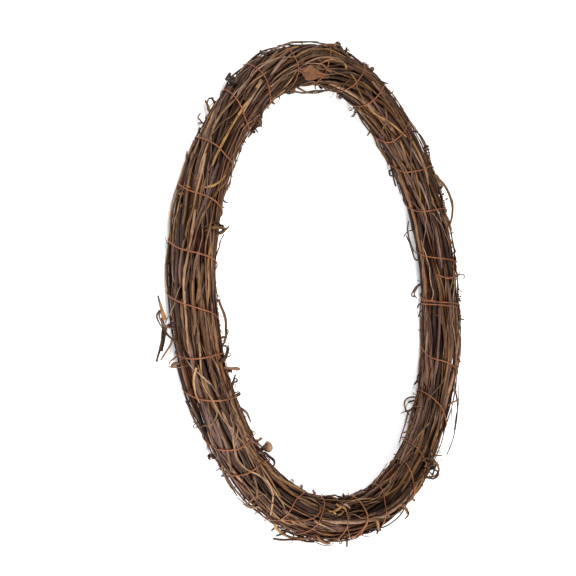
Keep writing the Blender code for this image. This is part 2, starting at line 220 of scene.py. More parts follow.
# Twist of the ridges: the length of a turn on the vines, and radians a metre on smaller stems
VINE_RIDGE_TURN = 0.11
THIN_RIDGE_TURN = 0.08
STEM_TWIST = 20
SMALL_TWIST = 30

# Nodes on a stem: the first one's distance from its root, their spacing and their width
FIRST_KNOT = (0.005, 0.04)
KNOT_SPACING = (0.028, 0.062)
KNOT_WIDTH = 0.0022

# Laying thin vines over the others
FINE_PER_STATION = 4
FINE = STATIONS * FINE_PER_STATION
FINE_ANGLE = math.tau / FINE
SIDEWAYS = np.radians(np.arange(-30, 31, 3))
SIDEWAYS_STEP = math.radians(3)
TURNING_COST = 0.12
STRAY_COST = 0.012
UNDER_COST = 30
SIDEWAYS_REACH = 2
TRIES = 4
GOLDEN_SHARE = 0.618
TIED_ANGLE = math.radians(6)
HULL_SIDES = np.radians(np.arange(-66, 67, 3))
PROUD_LIMIT = 0.0009
# How much lower a stem's flanks count in depth, which darkens them with painted shade between the stems
FLANK_SHADE = 0.15
LOWEST = 0.0021
PROUDEST_TWIG = 0.003
ROOT_DEPTH = 0.0008
BOX_MARGIN = 0.003
FLOOR_ROOM = 0.0008

# The three barks, and how often each is drawn for a kind of stem
DARK = "dark_bark"
BROWN = "brown_bark"
TAN = "tan_bark"
BARKS = (DARK, BROWN, TAN)
THICK_BARKS = (DARK, DARK, BROWN, BROWN, TAN)
THIN_BARKS = (DARK, BROWN, BROWN, TAN, TAN)
TWIG_BARKS = (DARK, BROWN, BROWN, TAN)

# Thin stems by kind: radii in mm, length in fine steps of the ring, barks, how far the ends may stand
# off in mm, mean and spread of the tone, and crookedness in metres
StemKind = collections.namedtuple("StemKind", "radii steps barks ends tone wiggle")
THIN_VINE = StemKind((0.4, 1.0), (20, 84), THIN_BARKS, (-1.6, -1.2, -0.8, 1.0), (0.03, 0.2), 0.0003)
TWIG = StemKind((0.35, 0.7), (6, 16), TWIG_BARKS, (-1.2, -0.8, 0.6, 1.8), (0.02, 0.16), 0.0007)
BOW = StemKind((0.4, 0.85), (9, 24), THICK_BARKS, (-0.8, 0.5, 2.0), (0.0, 0.18), 0.0006)
STRING = StemKind((0.3, 0.48), (6, 34), THIN_BARKS, (-0.5, 0.5, 1.0, 2.5), (0.06, 0.18), 0.0009)

# Stems that the photograph shows one by one: bark, radius in mm, paleness from 0 to 1, how far they
# stand off the bundle in mm, and the pixels that they pass, across and down from the top left corner.
# A third number is the point's height in mm.
PLAIN_TWIGS = (
    (DARK, 0.8, 0, 0, ((419, 283), (414, 290), (412, 295), (415, 297))),
    (DARK, 0.2, 0.2, 0.3, ((465.5, 274), (467.5, 278), (467.5, 283), (465.5, 287))),
    (DARK, 0.4, 0, 0.3, ((463.2, 270.5), (465.3, 271.2), (466.2, 273), (465.2, 275), (463.8, 273.6),
        (464.2, 271.8))),
    (DARK, 0.22, 0, 0.3, ((456, 266), (459, 267), (462, 269), (464, 271))),
    (DARK, 0.5, 0, 0, ((404, 238), (405, 233), (410, 231), (416, 230))),
    (BROWN, 1.3, 0.1, 0, ((435, 222), (438, 240), (441, 258), (443, 270))),
    (BROWN, 1, 0.1, 0, ((444, 215), (448, 230), (451, 245), (452, 262))),
    (DARK, 0.6, 0, 0, ((407, 222), (406, 232), (409, 245), (413, 254))),
    (TAN, 0.7, 0, 0, ((430, 200), (436, 207), (440, 216), (442, 226))),
    (TAN, 0.8, 0, 0, ((410, 200), (417, 207), (421, 213), (425, 225), (428, 238), (431, 250))),
    (TAN, 0.9, 0.1, 0, ((418, 180), (423, 190), (428, 203), (430, 215))),
    (BROWN, 1, 0.1, 0, ((412, 180), (417, 195), (423, 207), (427, 220))),
    (TAN, 0.9, 0.1, 0, ((397, 175), (401, 184), (405, 195), (409, 205))),
    (TAN, 0.9, 0, 0, ((411, 146), (416, 156), (424, 170), (430, 178))),
    (TAN, 0.7, 0, 0, ((411, 135), (411, 150), (411, 165), (412, 180))),
    (BROWN, 1.2, 0.1, 0, ((400, 140), (405, 155), (408, 170))),
    (TAN, 1.3, -0.1, 0, ((391, 136), (398, 150), (403, 162))),
    (TAN, 0.8, 0.1, 0, ((395, 108), (402, 118), (408, 128))),
    (DARK, 0.8, 0.4, 0, ((386, 108), (386, 120), (383, 128), (381, 136))),
    (TAN, 0.8, 0.25, 0, ((369, 109), (378, 115), (388, 121), (400, 131), (408, 138))),
    (DARK, 1, 0.35, 0, ((359, 108), (366, 118), (374, 128), (381, 137))),
    (BROWN, 1.1, 0.1, 0, ((372, 80), (380, 90), (388, 102), (395, 112), (402, 124))),
    (BROWN, 1.1, 0, 0, ((366, 90), (375, 103), (384, 117), (392, 130))),
    (BROWN, 0.6, 0.2, 0, ((365, 84), (370, 90), (373, 97))),
    (BROWN, 0.6, 0.2, 0, ((352, 79), (345, 84), (337, 91))),
    (TAN, 0.7, 0.1, 0, ((350, 73), (356, 80), (358, 88), (362, 97), (366, 103))),
    (TAN, 0.7, 0.1, 0, ((340, 52), (350, 57), (360, 65), (368, 72))),
    (DARK, 0.6, 0.4, 0, ((327, 75), (340, 73), (352, 73), (362, 77))),
    (BROWN, 1, 0.1, 0, ((308, 84), (320, 82), (332, 82), (342, 84))),
    (TAN, 0.8, 0.3, 0, ((318, 66), (326, 61), (335, 59), (344, 63), (349, 70))),
    (BROWN, 0.9, 0.2, 0, ((300, 53), (312, 48), (325, 47), (340, 49))),
    (BROWN, 0.8, 0.1, 0, ((294, 90), (305, 91), (318, 90), (330, 88), (340, 86))),
    (TAN, 0.9, 0.3, 0, ((303, 66), (315, 59), (329, 57), (341, 60), (348, 70))),
    (TAN, 0.9, 0.25, 0, ((296, 57), (305, 51), (318, 49), (333, 51), (345, 57), (355, 64))),
    (DARK, 0.7, 0, 0.3, ((286, 86), (289, 92), (284, 92))),
    (TAN, 0.9, 0.3, 0, ((262, 64), (272, 57), (285, 50), (298, 46), (310, 44))),
    (TAN, 1, 0.45, 0, ((272, 74), (279, 64), (287, 54))),
    (TAN, 0.8, 0.3, 0, ((270, 88), (282, 78), (294, 71), (302, 68))),
    (BROWN, 1, 0, 0.3, ((270, 96), (263, 104), (259, 113), (253, 126), (246, 136))),
    (DARK, 1.2, 0, 0.4, ((233, 76), (229, 82), (235, 86), (238, 80))),
    (BROWN, 0.8, 0.1, 0, ((236, 78), (246, 67), (258, 59), (272, 52))),
    (DARK, 0.8, 0, 0.3, ((256, 116), (259, 123), (254, 127), (258, 132))),
    (TAN, 0.9, 0.35, 0, ((237, 93), (246, 82), (256, 70), (268, 62), (282, 56))),
    (DARK, 0.8, 0, 0, ((214, 98), (209, 99), (207, 103))),
    (DARK, 0.7, 0, 0.3, ((250, 134), (255, 126), (251, 122))),
    (TAN, 0.8, 0.7, 0, ((243, 114), (252, 98), (258, 88), (264, 79))),
    (TAN, 0.9, 0.3, 0, ((204, 138), (208, 126), (213, 112), (218, 99))),
    (BROWN, 1.1, 0.1, 0, ((193, 150), (190, 165), (188, 180), (186, 195), (184, 215), (180, 235))),
    (TAN, 0.8, 0.1, 0, ((197, 152), (192, 166), (189, 180))),
    (TAN, 1.1, 0.2, 0, ((206, 150), (203, 165), (199, 180), (196, 192), (192, 210), (187, 225),
        (184, 240))),
    (DARK, 1.2, 0.2, 0, ((221, 160), (214, 175), (209, 190), (205, 200), (199, 215), (193, 230),
        (190, 245))),
    (TAN, 0.8, 0, 0, ((228, 180), (215, 195), (207, 208), (200, 222), (195, 238))),
    (TAN, 1, 0.5, 0, ((211, 168), (218, 152), (227, 135), (236, 119), (243, 108), (250, 97), (257, 87),
        (262, 78))),
    (BROWN, 1, 0.2, 0, ((209, 170), (206, 180), (203, 188), (200, 200), (198, 212))),
    (TAN, 0.8, 0.7, 0, ((201, 187), (210, 186), (218, 183), (224, 178), (228, 172))),
    (TAN, 1.1, 0.4, 0, ((196, 205), (191, 236), (186, 260), (184, 275), (185, 305), (186, 320),
        (187, 340), (189, 358))),
    (DARK, 0.5, 0, 0.2, ((224, 234), (219, 244), (216, 255), (214, 265))),
    (TAN, 0.9, 0.1, 0.3, ((211, 229), (223, 229), (227, 228))),
    (BROWN, 0.45, 0.2, 0, ((203, 228), (211, 223), (219, 224), (222, 231), (216, 237))),
    (BROWN, 0.45, 0.2, 0, ((204, 231), (213, 228), (222, 226))),
    (BROWN, 1.2, 0.1, 0, ((184, 236), (181, 255), (179, 270), (180, 290))),
    (TAN, 1, 0.2, 0, ((212, 240), (209, 260), (208, 280))),
    (TAN, 0.9, 0, 0, ((174, 240), (173, 255), (172, 270), (173, 285))),
    (BROWN, 1.2, 0.2, 0, ((200, 250), (196, 262), (194, 275), (192, 290))),
    (BROWN, 1.3, 0.1, 0, ((204, 262), (202, 275), (199, 290), (197, 305))),
    (BROWN, 1.4, 0.15, 0, ((193, 275), (193, 300), (195, 318), (193, 339))),
    (BROWN, 0.8, 0.1, 0, ((206, 282), (200, 300), (199, 318), (197, 345))),
    (BROWN, 1, 0, 0, ((174, 285), (175, 300), (176, 315), (178, 330))),
    (TAN, 0.5, 0.2, 0, ((180, 285), (174, 305), (168, 322))),
    (DARK, 0.9, 0.5, 0, ((203, 298), (206, 318), (208, 338), (210, 358), (210, 372))),
    (TAN, 0.9, 0, 0, ((181, 300), (182, 320), (184, 338), (186, 352))),
    (BROWN, 0.8, 0.2, 0, ((212, 300), (213, 320), (212, 340), (211, 360))),
    (DARK, 1, 0, 0.3, ((217, 300), (223, 318), (224, 333), (221, 346))),
    (DARK, 0.7, 0, 0, ((160, 310), (157, 315), (160, 323), (165, 329))),
    (DARK, 1.9, 0, 0, ((165, 318), (166, 321), (168, 326))),
    (TAN, 1.9, 0.85, 0, ((169, 319), (165, 307), (161, 296))),
    (DARK, 0.8, 0, 0.3, ((163, 322), (170, 333), (177, 341))),
    (DARK, 1.4, 0, 0, ((169, 327), (166, 340), (163, 351))),
    (DARK, 1.5, 0, 0, ((166, 327), (163, 344), (158, 361))),
    (DARK, 1.1, 0, 0.3, ((165, 329), (170, 326), (176, 322))),
    (TAN, 0.7, 0, 0, ((177, 333), (178, 345), (180, 356))),
    (TAN, 1.2, 1, 0, ((193, 338), (193, 340))),
    (TAN, 0.5, 0.3, 0, ((180, 352), (190, 365), (203, 377), (212, 386))),
    (DARK, 0.6, 0.1, 0.5, ((178, 356), (174, 361), (170, 367, 6.5))),
    (TAN, 0.4, 0.2, 0.5, ((170, 367), (178, 366), (186, 366))),
    (TAN, 0.8, 0.5, 0.2, ((197, 368), (194, 380), (196, 394), (200, 402))),
    (DARK, 1.3, 0.3, 0, ((204, 375), (207, 388), (213, 402), (218, 415))),
    (TAN, 0.5, 0.2, 0, ((208, 380), (216, 392), (222, 400))),
    (DARK, 1.2, 0.3, 0, ((206, 405), (212, 420), (219, 438), (223, 452))),
    (TAN, 0.6, 0.3, 0, ((216, 402), (217, 412), (215, 421), (210, 427), (204, 426), (199, 426))),
    (BROWN, 1.1, 0.2, 0, ((222, 410), (228, 425), (236, 440), (243, 452))),
    (DARK, 1.2, 0.5, 0, ((216, 418), (220, 432), (226, 445), (229, 460), (232, 475))),
    (TAN, 0.6, 0.4, 0, ((237, 412), (238, 425), (236, 437), (235, 450))),
    (TAN, 0.7, 0.1, 0, ((206, 427), (210, 438), (214, 448))),
    (TAN, 0.8, 0.55, 0, ((235, 415), (233, 430), (234, 445), (238, 460), (248, 470), (258, 475),
        (266, 481), (272, 492), (273, 503), (270, 517))),
    (TAN, 0.7, 0.1, 0, ((206, 430), (211, 443), (217, 455))),
    (TAN, 0.9, 0.1, 0, ((238, 430), (246, 437), (254, 443), (262, 450))),
    (TAN, 0.9, 0.1, 0, ((243, 444), (252, 454), (262, 462), (272, 469))),
    (BROWN, 1, 0.2, 0, ((250, 447), (258, 455), (266, 463), (274, 472))),
    (BROWN, 0.5, 0.1, 0, ((238, 460), (242, 475), (244, 488))),
    (TAN, 0.7, 0, 0, ((222, 465), (228, 478), (234, 487), (240, 493))),
    (DARK, 1, 0, 0.3, ((256, 452), (266, 456), (272, 461), (270, 468))),
    (DARK, 0.9, 0.4, 0, ((254, 476), (257, 488), (257, 501))),
    (TAN, 1.4, 0.3, 0, ((270, 470), (282, 480), (296, 488), (308, 493), (318, 498))),
    (BROWN, 0.5, 0.2, 0, ((246, 502), (254, 497), (262, 495), (269, 495))),
    (TAN, 0.8, 0.2, 0, ((248, 502), (258, 507), (268, 514))),
    (TAN, 0.9, 0.2, 0, ((284, 512), (296, 518), (306, 523), (312, 526))),
    (BROWN, 1.1, 0.1, 0, ((300, 500), (312, 507), (325, 512), (338, 515))),
    (BROWN, 1, 0.1, 0, ((290, 520), (303, 527), (318, 530), (335, 532))),
    (TAN, 1.2, 0.3, 0, ((276, 523), (286, 531), (300, 535), (315, 538), (330, 541))),
    (DARK, 0.9, 0, 0, ((276, 535), (284, 537), (300, 537), (314, 540))),
    (TAN, 0.8, 0.2, 0, ((316, 522), (328, 528), (340, 533))),
    (BROWN, 0.4, 0, 0, ((316, 541), (322, 545), (330, 544), (334, 540))),
    (BROWN, 1, 0.1, 0, ((347, 520), (356, 520), (366, 517), (378, 512))),
    (TAN, 0.35, 0.5, 0, ((347, 520), (349, 530), (349, 542))),
    (TAN, 0.8, 0.45, 0, ((345, 503), (355, 500), (365, 498), (375, 496))),
    (BROWN, 1, 0.2, 0, ((350, 532), (360, 530), (372, 526), (382, 519))),
    (DARK, 0.6, 0, 0.4, ((370, 530), (384, 526), (396, 517), (404, 505), (410, 493))),
    (DARK, 1.3, 0.1, 0, ((382, 512), (396, 503), (408, 491), (416, 478))),
    (TAN, 0.8, 0.1, 0, ((381, 498), (388, 491), (393, 484), (394, 474))),
    (TAN, 0.6, 0.35, 0, ((382, 497), (392, 491), (402, 484), (408, 480))),
    (BROWN, 1.5, 0.1, 0, ((390, 500), (398, 489), (406, 476), (413, 462), (420, 444), (424, 430))),
    (BROWN, 0.9, 0.1, 0, ((402, 506), (406, 509), (408, 513), (404, 518))),
    (BROWN, 1.6, 0.1, 0, ((402, 492), (410, 478), (416, 466), (424, 452), (430, 436))),
    (BROWN, 0.9, 0.1, 0.3, ((413, 484), (423, 477), (432, 474), (436, 469), (432, 460), (428, 452))),
    (DARK, 0.8, 0, 0.3, ((424, 474), (430, 468), (436, 472), (431, 477), (422, 477))),
    (DARK, 0.9, 0, 0.3, ((421, 462), (427, 459), (433, 464), (430, 472), (424, 470))),
    (BROWN, 0.5, 0.2, 0.3, ((427, 466), (434, 462), (441, 459))),
    (TAN, 0.5, 0.2, 0, ((431, 421), (424, 429), (418, 437), (412, 446))),
    (BROWN, 0.6, 0.1, 0, ((402, 414), (412, 410), (420, 407), (427, 406))),
    (BROWN, 0.8, 0.1, 0, ((415, 401), (409, 403), (407, 409), (410, 415))),
    (TAN, 0.8, 0.1, 0, ((456, 399), (449, 405), (442, 411), (437, 415))),
    (DARK, 1.2, 0.2, 0, ((432, 385), (428, 400), (424, 415), (420, 430))),
    (DARK, 0.4, 0, 0, ((457, 385), (457, 400), (455, 415), (453, 430))),
    (DARK, 0.8, 0, 0, ((423, 371), (419, 378), (415, 385))),
    (TAN, 1.2, -0.1, 0, ((446, 372), (446, 385), (443, 400), (440, 412))),
    (TAN, 0.6, 0.15, 0, ((453, 365), (447, 375), (440, 385), (433, 394), (427, 402))),
    (BROWN, 0.8, 0.2, 0, ((447, 320), (449, 335), (450, 350), (449, 362))),
    (TAN, 1.3, 0.2, 0, ((427, 312), (427, 330), (426, 350), (425, 370), (424, 385))),
    (TAN, 0.5, 0.1, 0, ((431, 310), (438, 317), (443, 325))),
    (BROWN, 1.1, 0.1, 0, ((453, 308), (455, 325), (454, 345), (453, 360))),
    (BROWN, 1.3, 0.1, 0, ((439, 305), (439, 325), (438, 345), (437, 362), (434, 380))),
    (DARK, 0.7, 0, 0, ((421, 304), (418, 310), (419, 317))),
)

# Flat strips of torn bark: bark, half the width in mm and tone, then each point's ring angle, angle
# round the bundle and height over the stems in mm
PLAIN_STRIPS = (
    (TAN, 1.1, 0.6, ((255, 108, 0.3), (256, 112, 1.5), (257, 118, 2.4), (258, 124, 1.4))),
    (TAN, 1.2, 0.5, ((256.5, 128, 0.3), (257, 120, 1.4), (258.4, 113, 2.6), (259.4, 108, 1.6))),
    (TAN, 0.9, 0.6, ((252.3, 104, 0.2), (252.8, 102, 1.2), (254.2, 98, 1.8))),
    (TAN, 0.9, 0.4, ((260.5, 130, 0.3), (261.7, 126, 1.6), (263.2, 121, 1.2))),
    (DARK, 1.1, 0.0, ((206, 116, 0.3), (208, 124, 1.0), (211, 130, 1.3))),
    (BROWN, 0.9, 0.1, ((40, 170, 0.3), (37.5, 172, 1.6), (34, 172, 2.0))),
    (BROWN, 1.2, 0.1, ((46, 108, 0.2), (41, 110, 0.8), (36, 112, 0.9), (31, 114, 0.2))),
)

# Curls that the photograph shows one by one: ring angle, angle round the bundle, coil radius
# in mm and how many grow there. Those under a size are thick and tight and make burrs.
BURR_SIZE = 1
BURR = (2.1, 0.65)
COIL = (1.0, 0.95)
CURL_TONE = -0.18
PLAIN_CURLS = (
    (189, 127, 1.6, 2), (137, 318, 1.3, 1), (147, 312, 1.6, 1), (323.6, 215, 2.4, 2),
    (206, 322, 1.8, 2), (308, 52, 1.5, 3), (250.8, 345, 1.5, 2), (23.5, 58, 1.5, 2),
    (342, 58, 1.2, 2), (72, 44, 1.0, 1), (200, 124, 1.6, 2), (258, 122, 1.3, 2),
    (64.4, 222, 1.5, 3), (218.7, 318, 1.6, 2), (202.7, 128, 1.5, 2), (242.8, 157, 1.3, 2),
    (183.4, 309, 0.9, 6), (125.3, 348, 0.8, 6), (131.9, 323, 0.9, 4), (135.9, 321, 0.8, 3),
    (128.9, 141, 0.8, 5), (131.3, 141, 0.9, 5), (108.3, 165, 0.7, 4), (85.2, 200, 0.7, 2),
    (39.3, 57, 0.9, 5), (307.7, 103, 0.9, 3), (307.2, 54, 0.9, 6), (304.5, 90, 0.9, 4),
    (279.3, 29, 0.8, 5), (262.9, 30, 0.7, 3), (162.5, 126, 0.9, 5), (195.8, 112, 0.8, 4),
    (72.4, 215, 0.7, 3), (7.2, 62, 0.7, 4), (27.5, 60, 0.8, 5), (24.8, 60, 0.7, 4),
    (356, 62, 0.7, 3), (214.8, 318, 0.7, 3), (259, 147, 0.7, 2), (81, 32, 0.8, 3),
)

# Tone of a stem in the photograph from its paleness
TONE_SPAN = 0.55
TONE_DROP = 0.06

# Camera, and how the photograph's pixels are followed from it to the bundle
LOOK_DOWN = math.radians(32.12)
CAMERA_DISTANCE = 6.614 * RING_RADIUS
CAMERA_ROLL = math.radians(-4.10)
AIM_SHIFT = (-0.351 * RING_RADIUS, 0.035 * RING_RADIUS, 0)
LENS_MM = 93.75
SENSOR_MM = 36
PHOTO_PIXELS = 576
SIGHT_REACH = (0.9, 1.7)
SIGHT_STEPS = 16001
SKIN_MM = 0.3
CLEAR_MM = 0.35
LOWEST_SEEN = 0.0005

# Lights: place, size in metres and share of the key light's power
LIGHTS = {
    "key_light": ((-0.9, 1.2, 1.1), 0.8, 0.72),
    "low_light": ((-0.7, -1.5, 0.8), 0.8, 1.15),
    "side_light": ((0.9, 0.9, 1.0), 1.0, 0.1),
}
LIT_PLACE = (0, 0, 0.02)
FLOOR_SIZE = 14
FLOOR_GLOW = 0.35


def any_phase(rng):
    """A wave's start, anywhere in its turn."""
    return rng.uniform(0, 6.3)


def waves(angle, shape):
    """Sum of the lobes that take a radius out of round."""
    return sum(size * np.cos(lobes * (angle - math.radians(first))) for size, lobes, first in shape)


def ring_radius(angle):
    return RING_RADIUS + waves(angle, RING_WAVES)


def bundle_radius(angle):
    return np.round(BUNDLE_RADIUS + waves(angle, BUNDLE_WAVES), 6)


def world(angle, out, up):
    """Points outward and upward of the bundle's middle at ring angles."""
    radius = ring_radius(angle) + out
    across = RING_CENTRE[0] + radius * np.cos(angle)
    along = RING_CENTRE[1] + radius * np.sin(angle)
    return np.stack([across, along, MID_HEIGHT + up + 0 * radius], -1)


def on_bundle(angle, around, out):
    """Points at distances from the bundle's middle."""
    return world(angle, out * np.cos(around), out * np.sin(around))


def from_world(points):
    """Ring angles of points, and how far outward and upward of the bundle's middle they are."""
    across, along = points[:, 0] - RING_CENTRE[0], points[:, 1] - RING_CENTRE[1]
    angle = np.arctan2(along, across)
    return angle, np.hypot(across, along) - ring_radius(angle), points[:, 2] - MID_HEIGHT


@functools.lru_cache(maxsize=1)
def camera_axes():
    """Where the camera stands, and its directions to the right, up and ahead."""
    middle = np.array([*RING_CENTRE, MID_HEIGHT])
    eye = middle + CAMERA_DISTANCE * np.array([-math.cos(LOOK_DOWN), 0, math.sin(LOOK_DOWN)])
    ahead = middle + AIM_SHIFT - eye
    ahead /= np.linalg.norm(ahead)
    right = np.cross(ahead, (0, 1, 0))
    right /= np.linalg.norm(right)
    up = np.cross(right, ahead)
    level = math.cos(CAMERA_ROLL) * right + math.sin(CAMERA_ROLL) * up
    upright = -math.sin(CAMERA_ROLL) * right + math.cos(CAMERA_ROLL) * up
    return eye, level, upright, ahead


def place_seen(across, down):
    """Ring angle and angle round the bundle of the place that a pixel shows, and its height in mm.

    A pixel beside the bundle shows the place on its line of sight that is nearest to the bundle.
    """
    eye, level, upright, ahead = camera_axes()
    focal = LENS_MM / SENSOR_MM * PHOTO_PIXELS
    middle = PHOTO_PIXELS / 2
    sight = ahead + (across - middle) / focal * level - (down - middle) / focal * upright
    sight /= np.linalg.norm(sight)
    points = eye + np.linspace(*SIGHT_REACH, SIGHT_STEPS)[:, None] * sight
    angle, out, up = from_world(points)
    height = (np.hypot(out, up) - bundle_radius(angle)) / MM
    height[points[:, 2] < LOWEST_SEEN] = np.inf
    met = np.flatnonzero(height <= SKIN_MM)
    first = met[0] if len(met) else height.argmin()
    around = math.degrees(math.atan2(up[first], out[first]))
    clear = height[first] if height[first] > CLEAR_MM else 0
    return math.degrees(angle[first]) % 360, (around + 90) % 360 - 90, clear


def points_seen(pixels, stand_off):
    """Ring angle, angle round the bundle and height in mm of the places that pixels show."""
    points = []
    for across, down, *given in pixels:
        ring, around, clear = place_seen(across, down)
        if points:
            # The short way on from the point before
            ring += 360 * round((points[-1][0] - ring) / 360)
            around += 360 * round((points[-1][1] - around) / 360)
        height = given[0] if given else round(clear + stand_off, 1)
        points.append((round(2 * ring) / 2, round(around), height))
    return points


def smooth(values, splits):
    """Points on a smooth curve through the given ones."""
    values = np.asarray(values, float)
    first = 2 * values[0] - values[1]
    last = 2 * values[-1] - values[-2]
    knots = np.concatenate([[first], values, [last]])
    part = (np.arange(splits) / splits).reshape((-1,) + (1,) * (values.ndim - 1))
    rows = []
    for before, here, after, beyond in zip(knots, knots[1:], knots[2:], knots[3:]):
        rows.append(0.5 * (2 * here + (after - before) * part
                           + (2 * before - 5 * here + 4 * after - beyond) * part ** 2
                           + (3 * here - before - 3 * after + beyond) * part ** 3))
    return np.concatenate(rows + [values[-1:]])


class Vine:
    """A vine's stations round the ring, and its place in the bundle at each of them."""

    def __init__(self, name, radius, start, span, orbit, phase, twist, rng):
        steps = start + np.arange(span + 1)
        angle = STATION_ANGLE * steps
        wander = rng.uniform(0.15, 0.4) * np.sin(angle * rng.uniform(1.2, 3.0) + any_phase(rng))
        turn = phase + twist * angle + wander
        swell = 1 + 0.1 * np.sin(3 * angle + any_phase(rng))
        out = orbit * swell * bundle_radius(angle) / BUNDLE_RADIUS
        self.name = name
        self.radius = radius
        self.angles = angle
        self.stations = steps % STATIONS
        self.place = np.round(np.stack([out * np.cos(turn), out * np.sin(turn)], 1), 6)
        self.bark = rng.choice(THICK_BARKS)
        self.shoots = []


def plan_vines():
    """Every vine in its layer, before the bundle is pressed together."""
    rng = random.Random(SEED)
    vines = []
    for name, count, radius, orbit, cut in LAYERS:
        for k in range(count):
            start = rng.randrange(STATIONS)
            twist = MEAN_TWIST + rng.gauss(0, TWIST_SPREAD)
            spans = [STATIONS - rng.randint(2, 4)]
            if k % 3 == 0 and k // 3 < cut:
                first = rng.randint(11, 20)
                spans = [first, STATIONS - first - rng.randint(2, 4)]
            for span in spans:
                number = 1 + sum(vine.name.startswith(name) for vine in vines)
                thick = radius * rng.uniform(0.88, 1.12)
                phase = math.tau * k / count
                vines.append(Vine(f"{name}_{number:02d}", thick, start, span, orbit, phase, twist, rng))
                start += span + 1
    for k, (start, span, phase, twist) in enumerate(CROSSING_VINES):
        name = f"crossing_vine_{k + 1}"
        vines.append(Vine(name, CROSSING_RADIUS, start, span, CROSSING_ORBIT, phase, twist, rng))
    return vines


def settle(vines):
    """Push the vines apart until none touches, inside the bundle and above its underside."""
    count = len(vines)
    place = np.zeros((count, STATIONS, 2))
    stays = np.zeros((count, STATIONS), bool)
    runs = np.zeros((count, STATIONS), bool)
    for row, vine in enumerate(vines):
        place[row, vine.stations] = vine.place
        stays[row, vine.stations] = True
        runs[row, vine.stations[:-1]] = True
    inside = (runs & np.roll(runs, 1, 1))[..., None]
    home = place.copy()
    radius = np.array([vine.radius for vine in vines])
    one, other = np.triu_indices(count, 1)
    need = ((radius[one] + radius[other]) * SLANT_ROOM + VINE_GAP)[:, None]
    meet = stays[one] & stays[other]
    both = runs[one] & runs[other]
    limit = bundle_radius(STATION_ANGLE * np.arange(STATIONS)) - radius[:, None]
    lowest = UNDERSIDE - MID_HEIGHT + radius[:, None]
    for k in range(SETTLING_ROUNDS):
        ease = max(0.0, 1 - 2 * k / SETTLING_ROUNDS)
        place += (home - place) * HOME_PULL * ease
        middle = (np.roll(place, 1, 1) + np.roll(place, -1, 1)) / 2
        place = np.where(inside, place + (middle - place) * STIFFNESS * ease, place)
        # Nearest approach of each pair of vines between one station and the next
        after = np.roll(place, -1, 1)
        apart = place[one] - place[other]
        change = after[one] - after[other] - apart
        part = -(apart * change).sum(-1) / np.maximum((change ** 2).sum(-1), 1e-12)
        part = np.where(both, np.clip(part, 0, 1), 0)
        nearest = apart + change * part[..., None]
        distance = np.maximum(np.sqrt((nearest ** 2).sum(-1)), 1e-6)
        short = np.where(meet, np.maximum(need - distance, 0), 0)
        push = 0.5 * nearest * (short / distance / ((1 - part) ** 2 + part ** 2))[..., None]
        here = np.zeros_like(place)
        ahead = np.zeros_like(place)
        np.add.at(here, one, push * (1 - part)[..., None])
        np.add.at(here, other, -push * (1 - part)[..., None])
        np.add.at(ahead, one, push * part[..., None])
        np.add.at(ahead, other, -push * part[..., None])
        place = place + PUSH_SHARE * (here + np.roll(ahead, 1, 1))
        reach = np.maximum(np.sqrt((place ** 2).sum(-1)), 1e-6)
        place *= np.minimum(1, limit / reach)[..., None]
        place[..., 1] = np.maximum(place[..., 1], lowest)
    for row, vine in enumerate(vines):
        vine.place = place[row, vine.stations]


def section(vines, angle):
    """The vines that pass a ring angle, each with its place there."""
    step = (angle / STATION_ANGLE) % STATIONS
    low = int(step)
    found = []
    for vine in vines:
        at = np.flatnonzero(vine.stations[:-1] == low)
        if len(at):
            first, second = vine.place[at[0]], vine.place[at[0] + 1]
            found.append((vine, first + (second - first) * (step - low)))
    return found


def outermost(vines, angle, around):
    """The vine that reaches furthest that way round the bundle, its place and its reach."""
    normal = np.array([math.cos(around), math.sin(around)])
    vine, place = max(section(vines, angle), key=lambda pair: pair[1] @ normal + pair[0].radius)
    return vine, place, place @ normal + vine.radius


def above(vines, angle, around, height):
    """Point at a height over the vines."""
    return on_bundle(angle, around, outermost(vines, angle, around)[2] + height)


def shoot_path(vines, angle, around, radius, steps):
    """A shoot leaves its vine straight outward and then follows its steps."""
    vine, place, _ = outermost(vines, angle, around)
    normal = np.array([math.cos(around), math.sin(around)])
    clear = place + normal * (vine.radius + radius + SHOOT_COLLAR)
    exit_angle = math.atan2(clear[1], clear[0])
    path = [world(angle, *place), world(angle, *clear)]
    for along, aside, height in steps:
        path.append(above(vines, angle + along * MM / RING_RADIUS,
                          exit_angle + aside * MM / BUNDLE_RADIUS, height * MM))
    return vine, np.array(path)


def foot_path(vines, angle):
    """A pruned stub that goes straight down to the floor."""
    vine, place, _ = outermost(vines, angle, math.radians(270))
    top = world(angle, *place)
    middle = (top[0], top[1], top[2] * 0.4)
    return vine, np.array([top, middle, (top[0], top[1], 0.0)])


class Stem:
    """A path with its radii, the tone of its bark and the turn of its ridges."""

    def __init__(self, path, radii, tone, tilt=0.0):
        self.path = np.asarray(path)
        count = len(self.path)
        self.radii = np.ones(count) * radii
        self.tone = np.ones(count) * tone
        self.tilt = np.ones(count) * tilt


def along_path(path):
    """Distance from the start at each point."""
    steps = np.linalg.norm(np.diff(path, axis=0), axis=1)
    return np.concatenate([[0], np.cumsum(steps)])


def soft_noise(rng, distance, length):
    """A smooth random wave with swings of about a length."""
    total = 0
    for part in (1.0, 0.6, 0.35):
        total = total + part * np.sin(distance * 6.3 * part ** -0.8 / (2 * length) + any_phase(rng))
    return total / 1.95


def knots_along(rng, distance):
    """Places of the nodes on a stem, where leaves once grew."""
    places = []
    at = rng.uniform(*FIRST_KNOT)
    while at < distance[-1]:
        places.append(at)
        at += rng.uniform(*KNOT_SPACING)
    return places


def hump(distance, at, width):
    """A rounded hump along a stem, 1 high."""
    return np.exp(-((distance - at) / width) ** 2)


def taper(left, least, length):
    """Share of a stem's thickness that is left near its end."""
    return least + (1 - least) * np.clip(left / length, 0, 1)


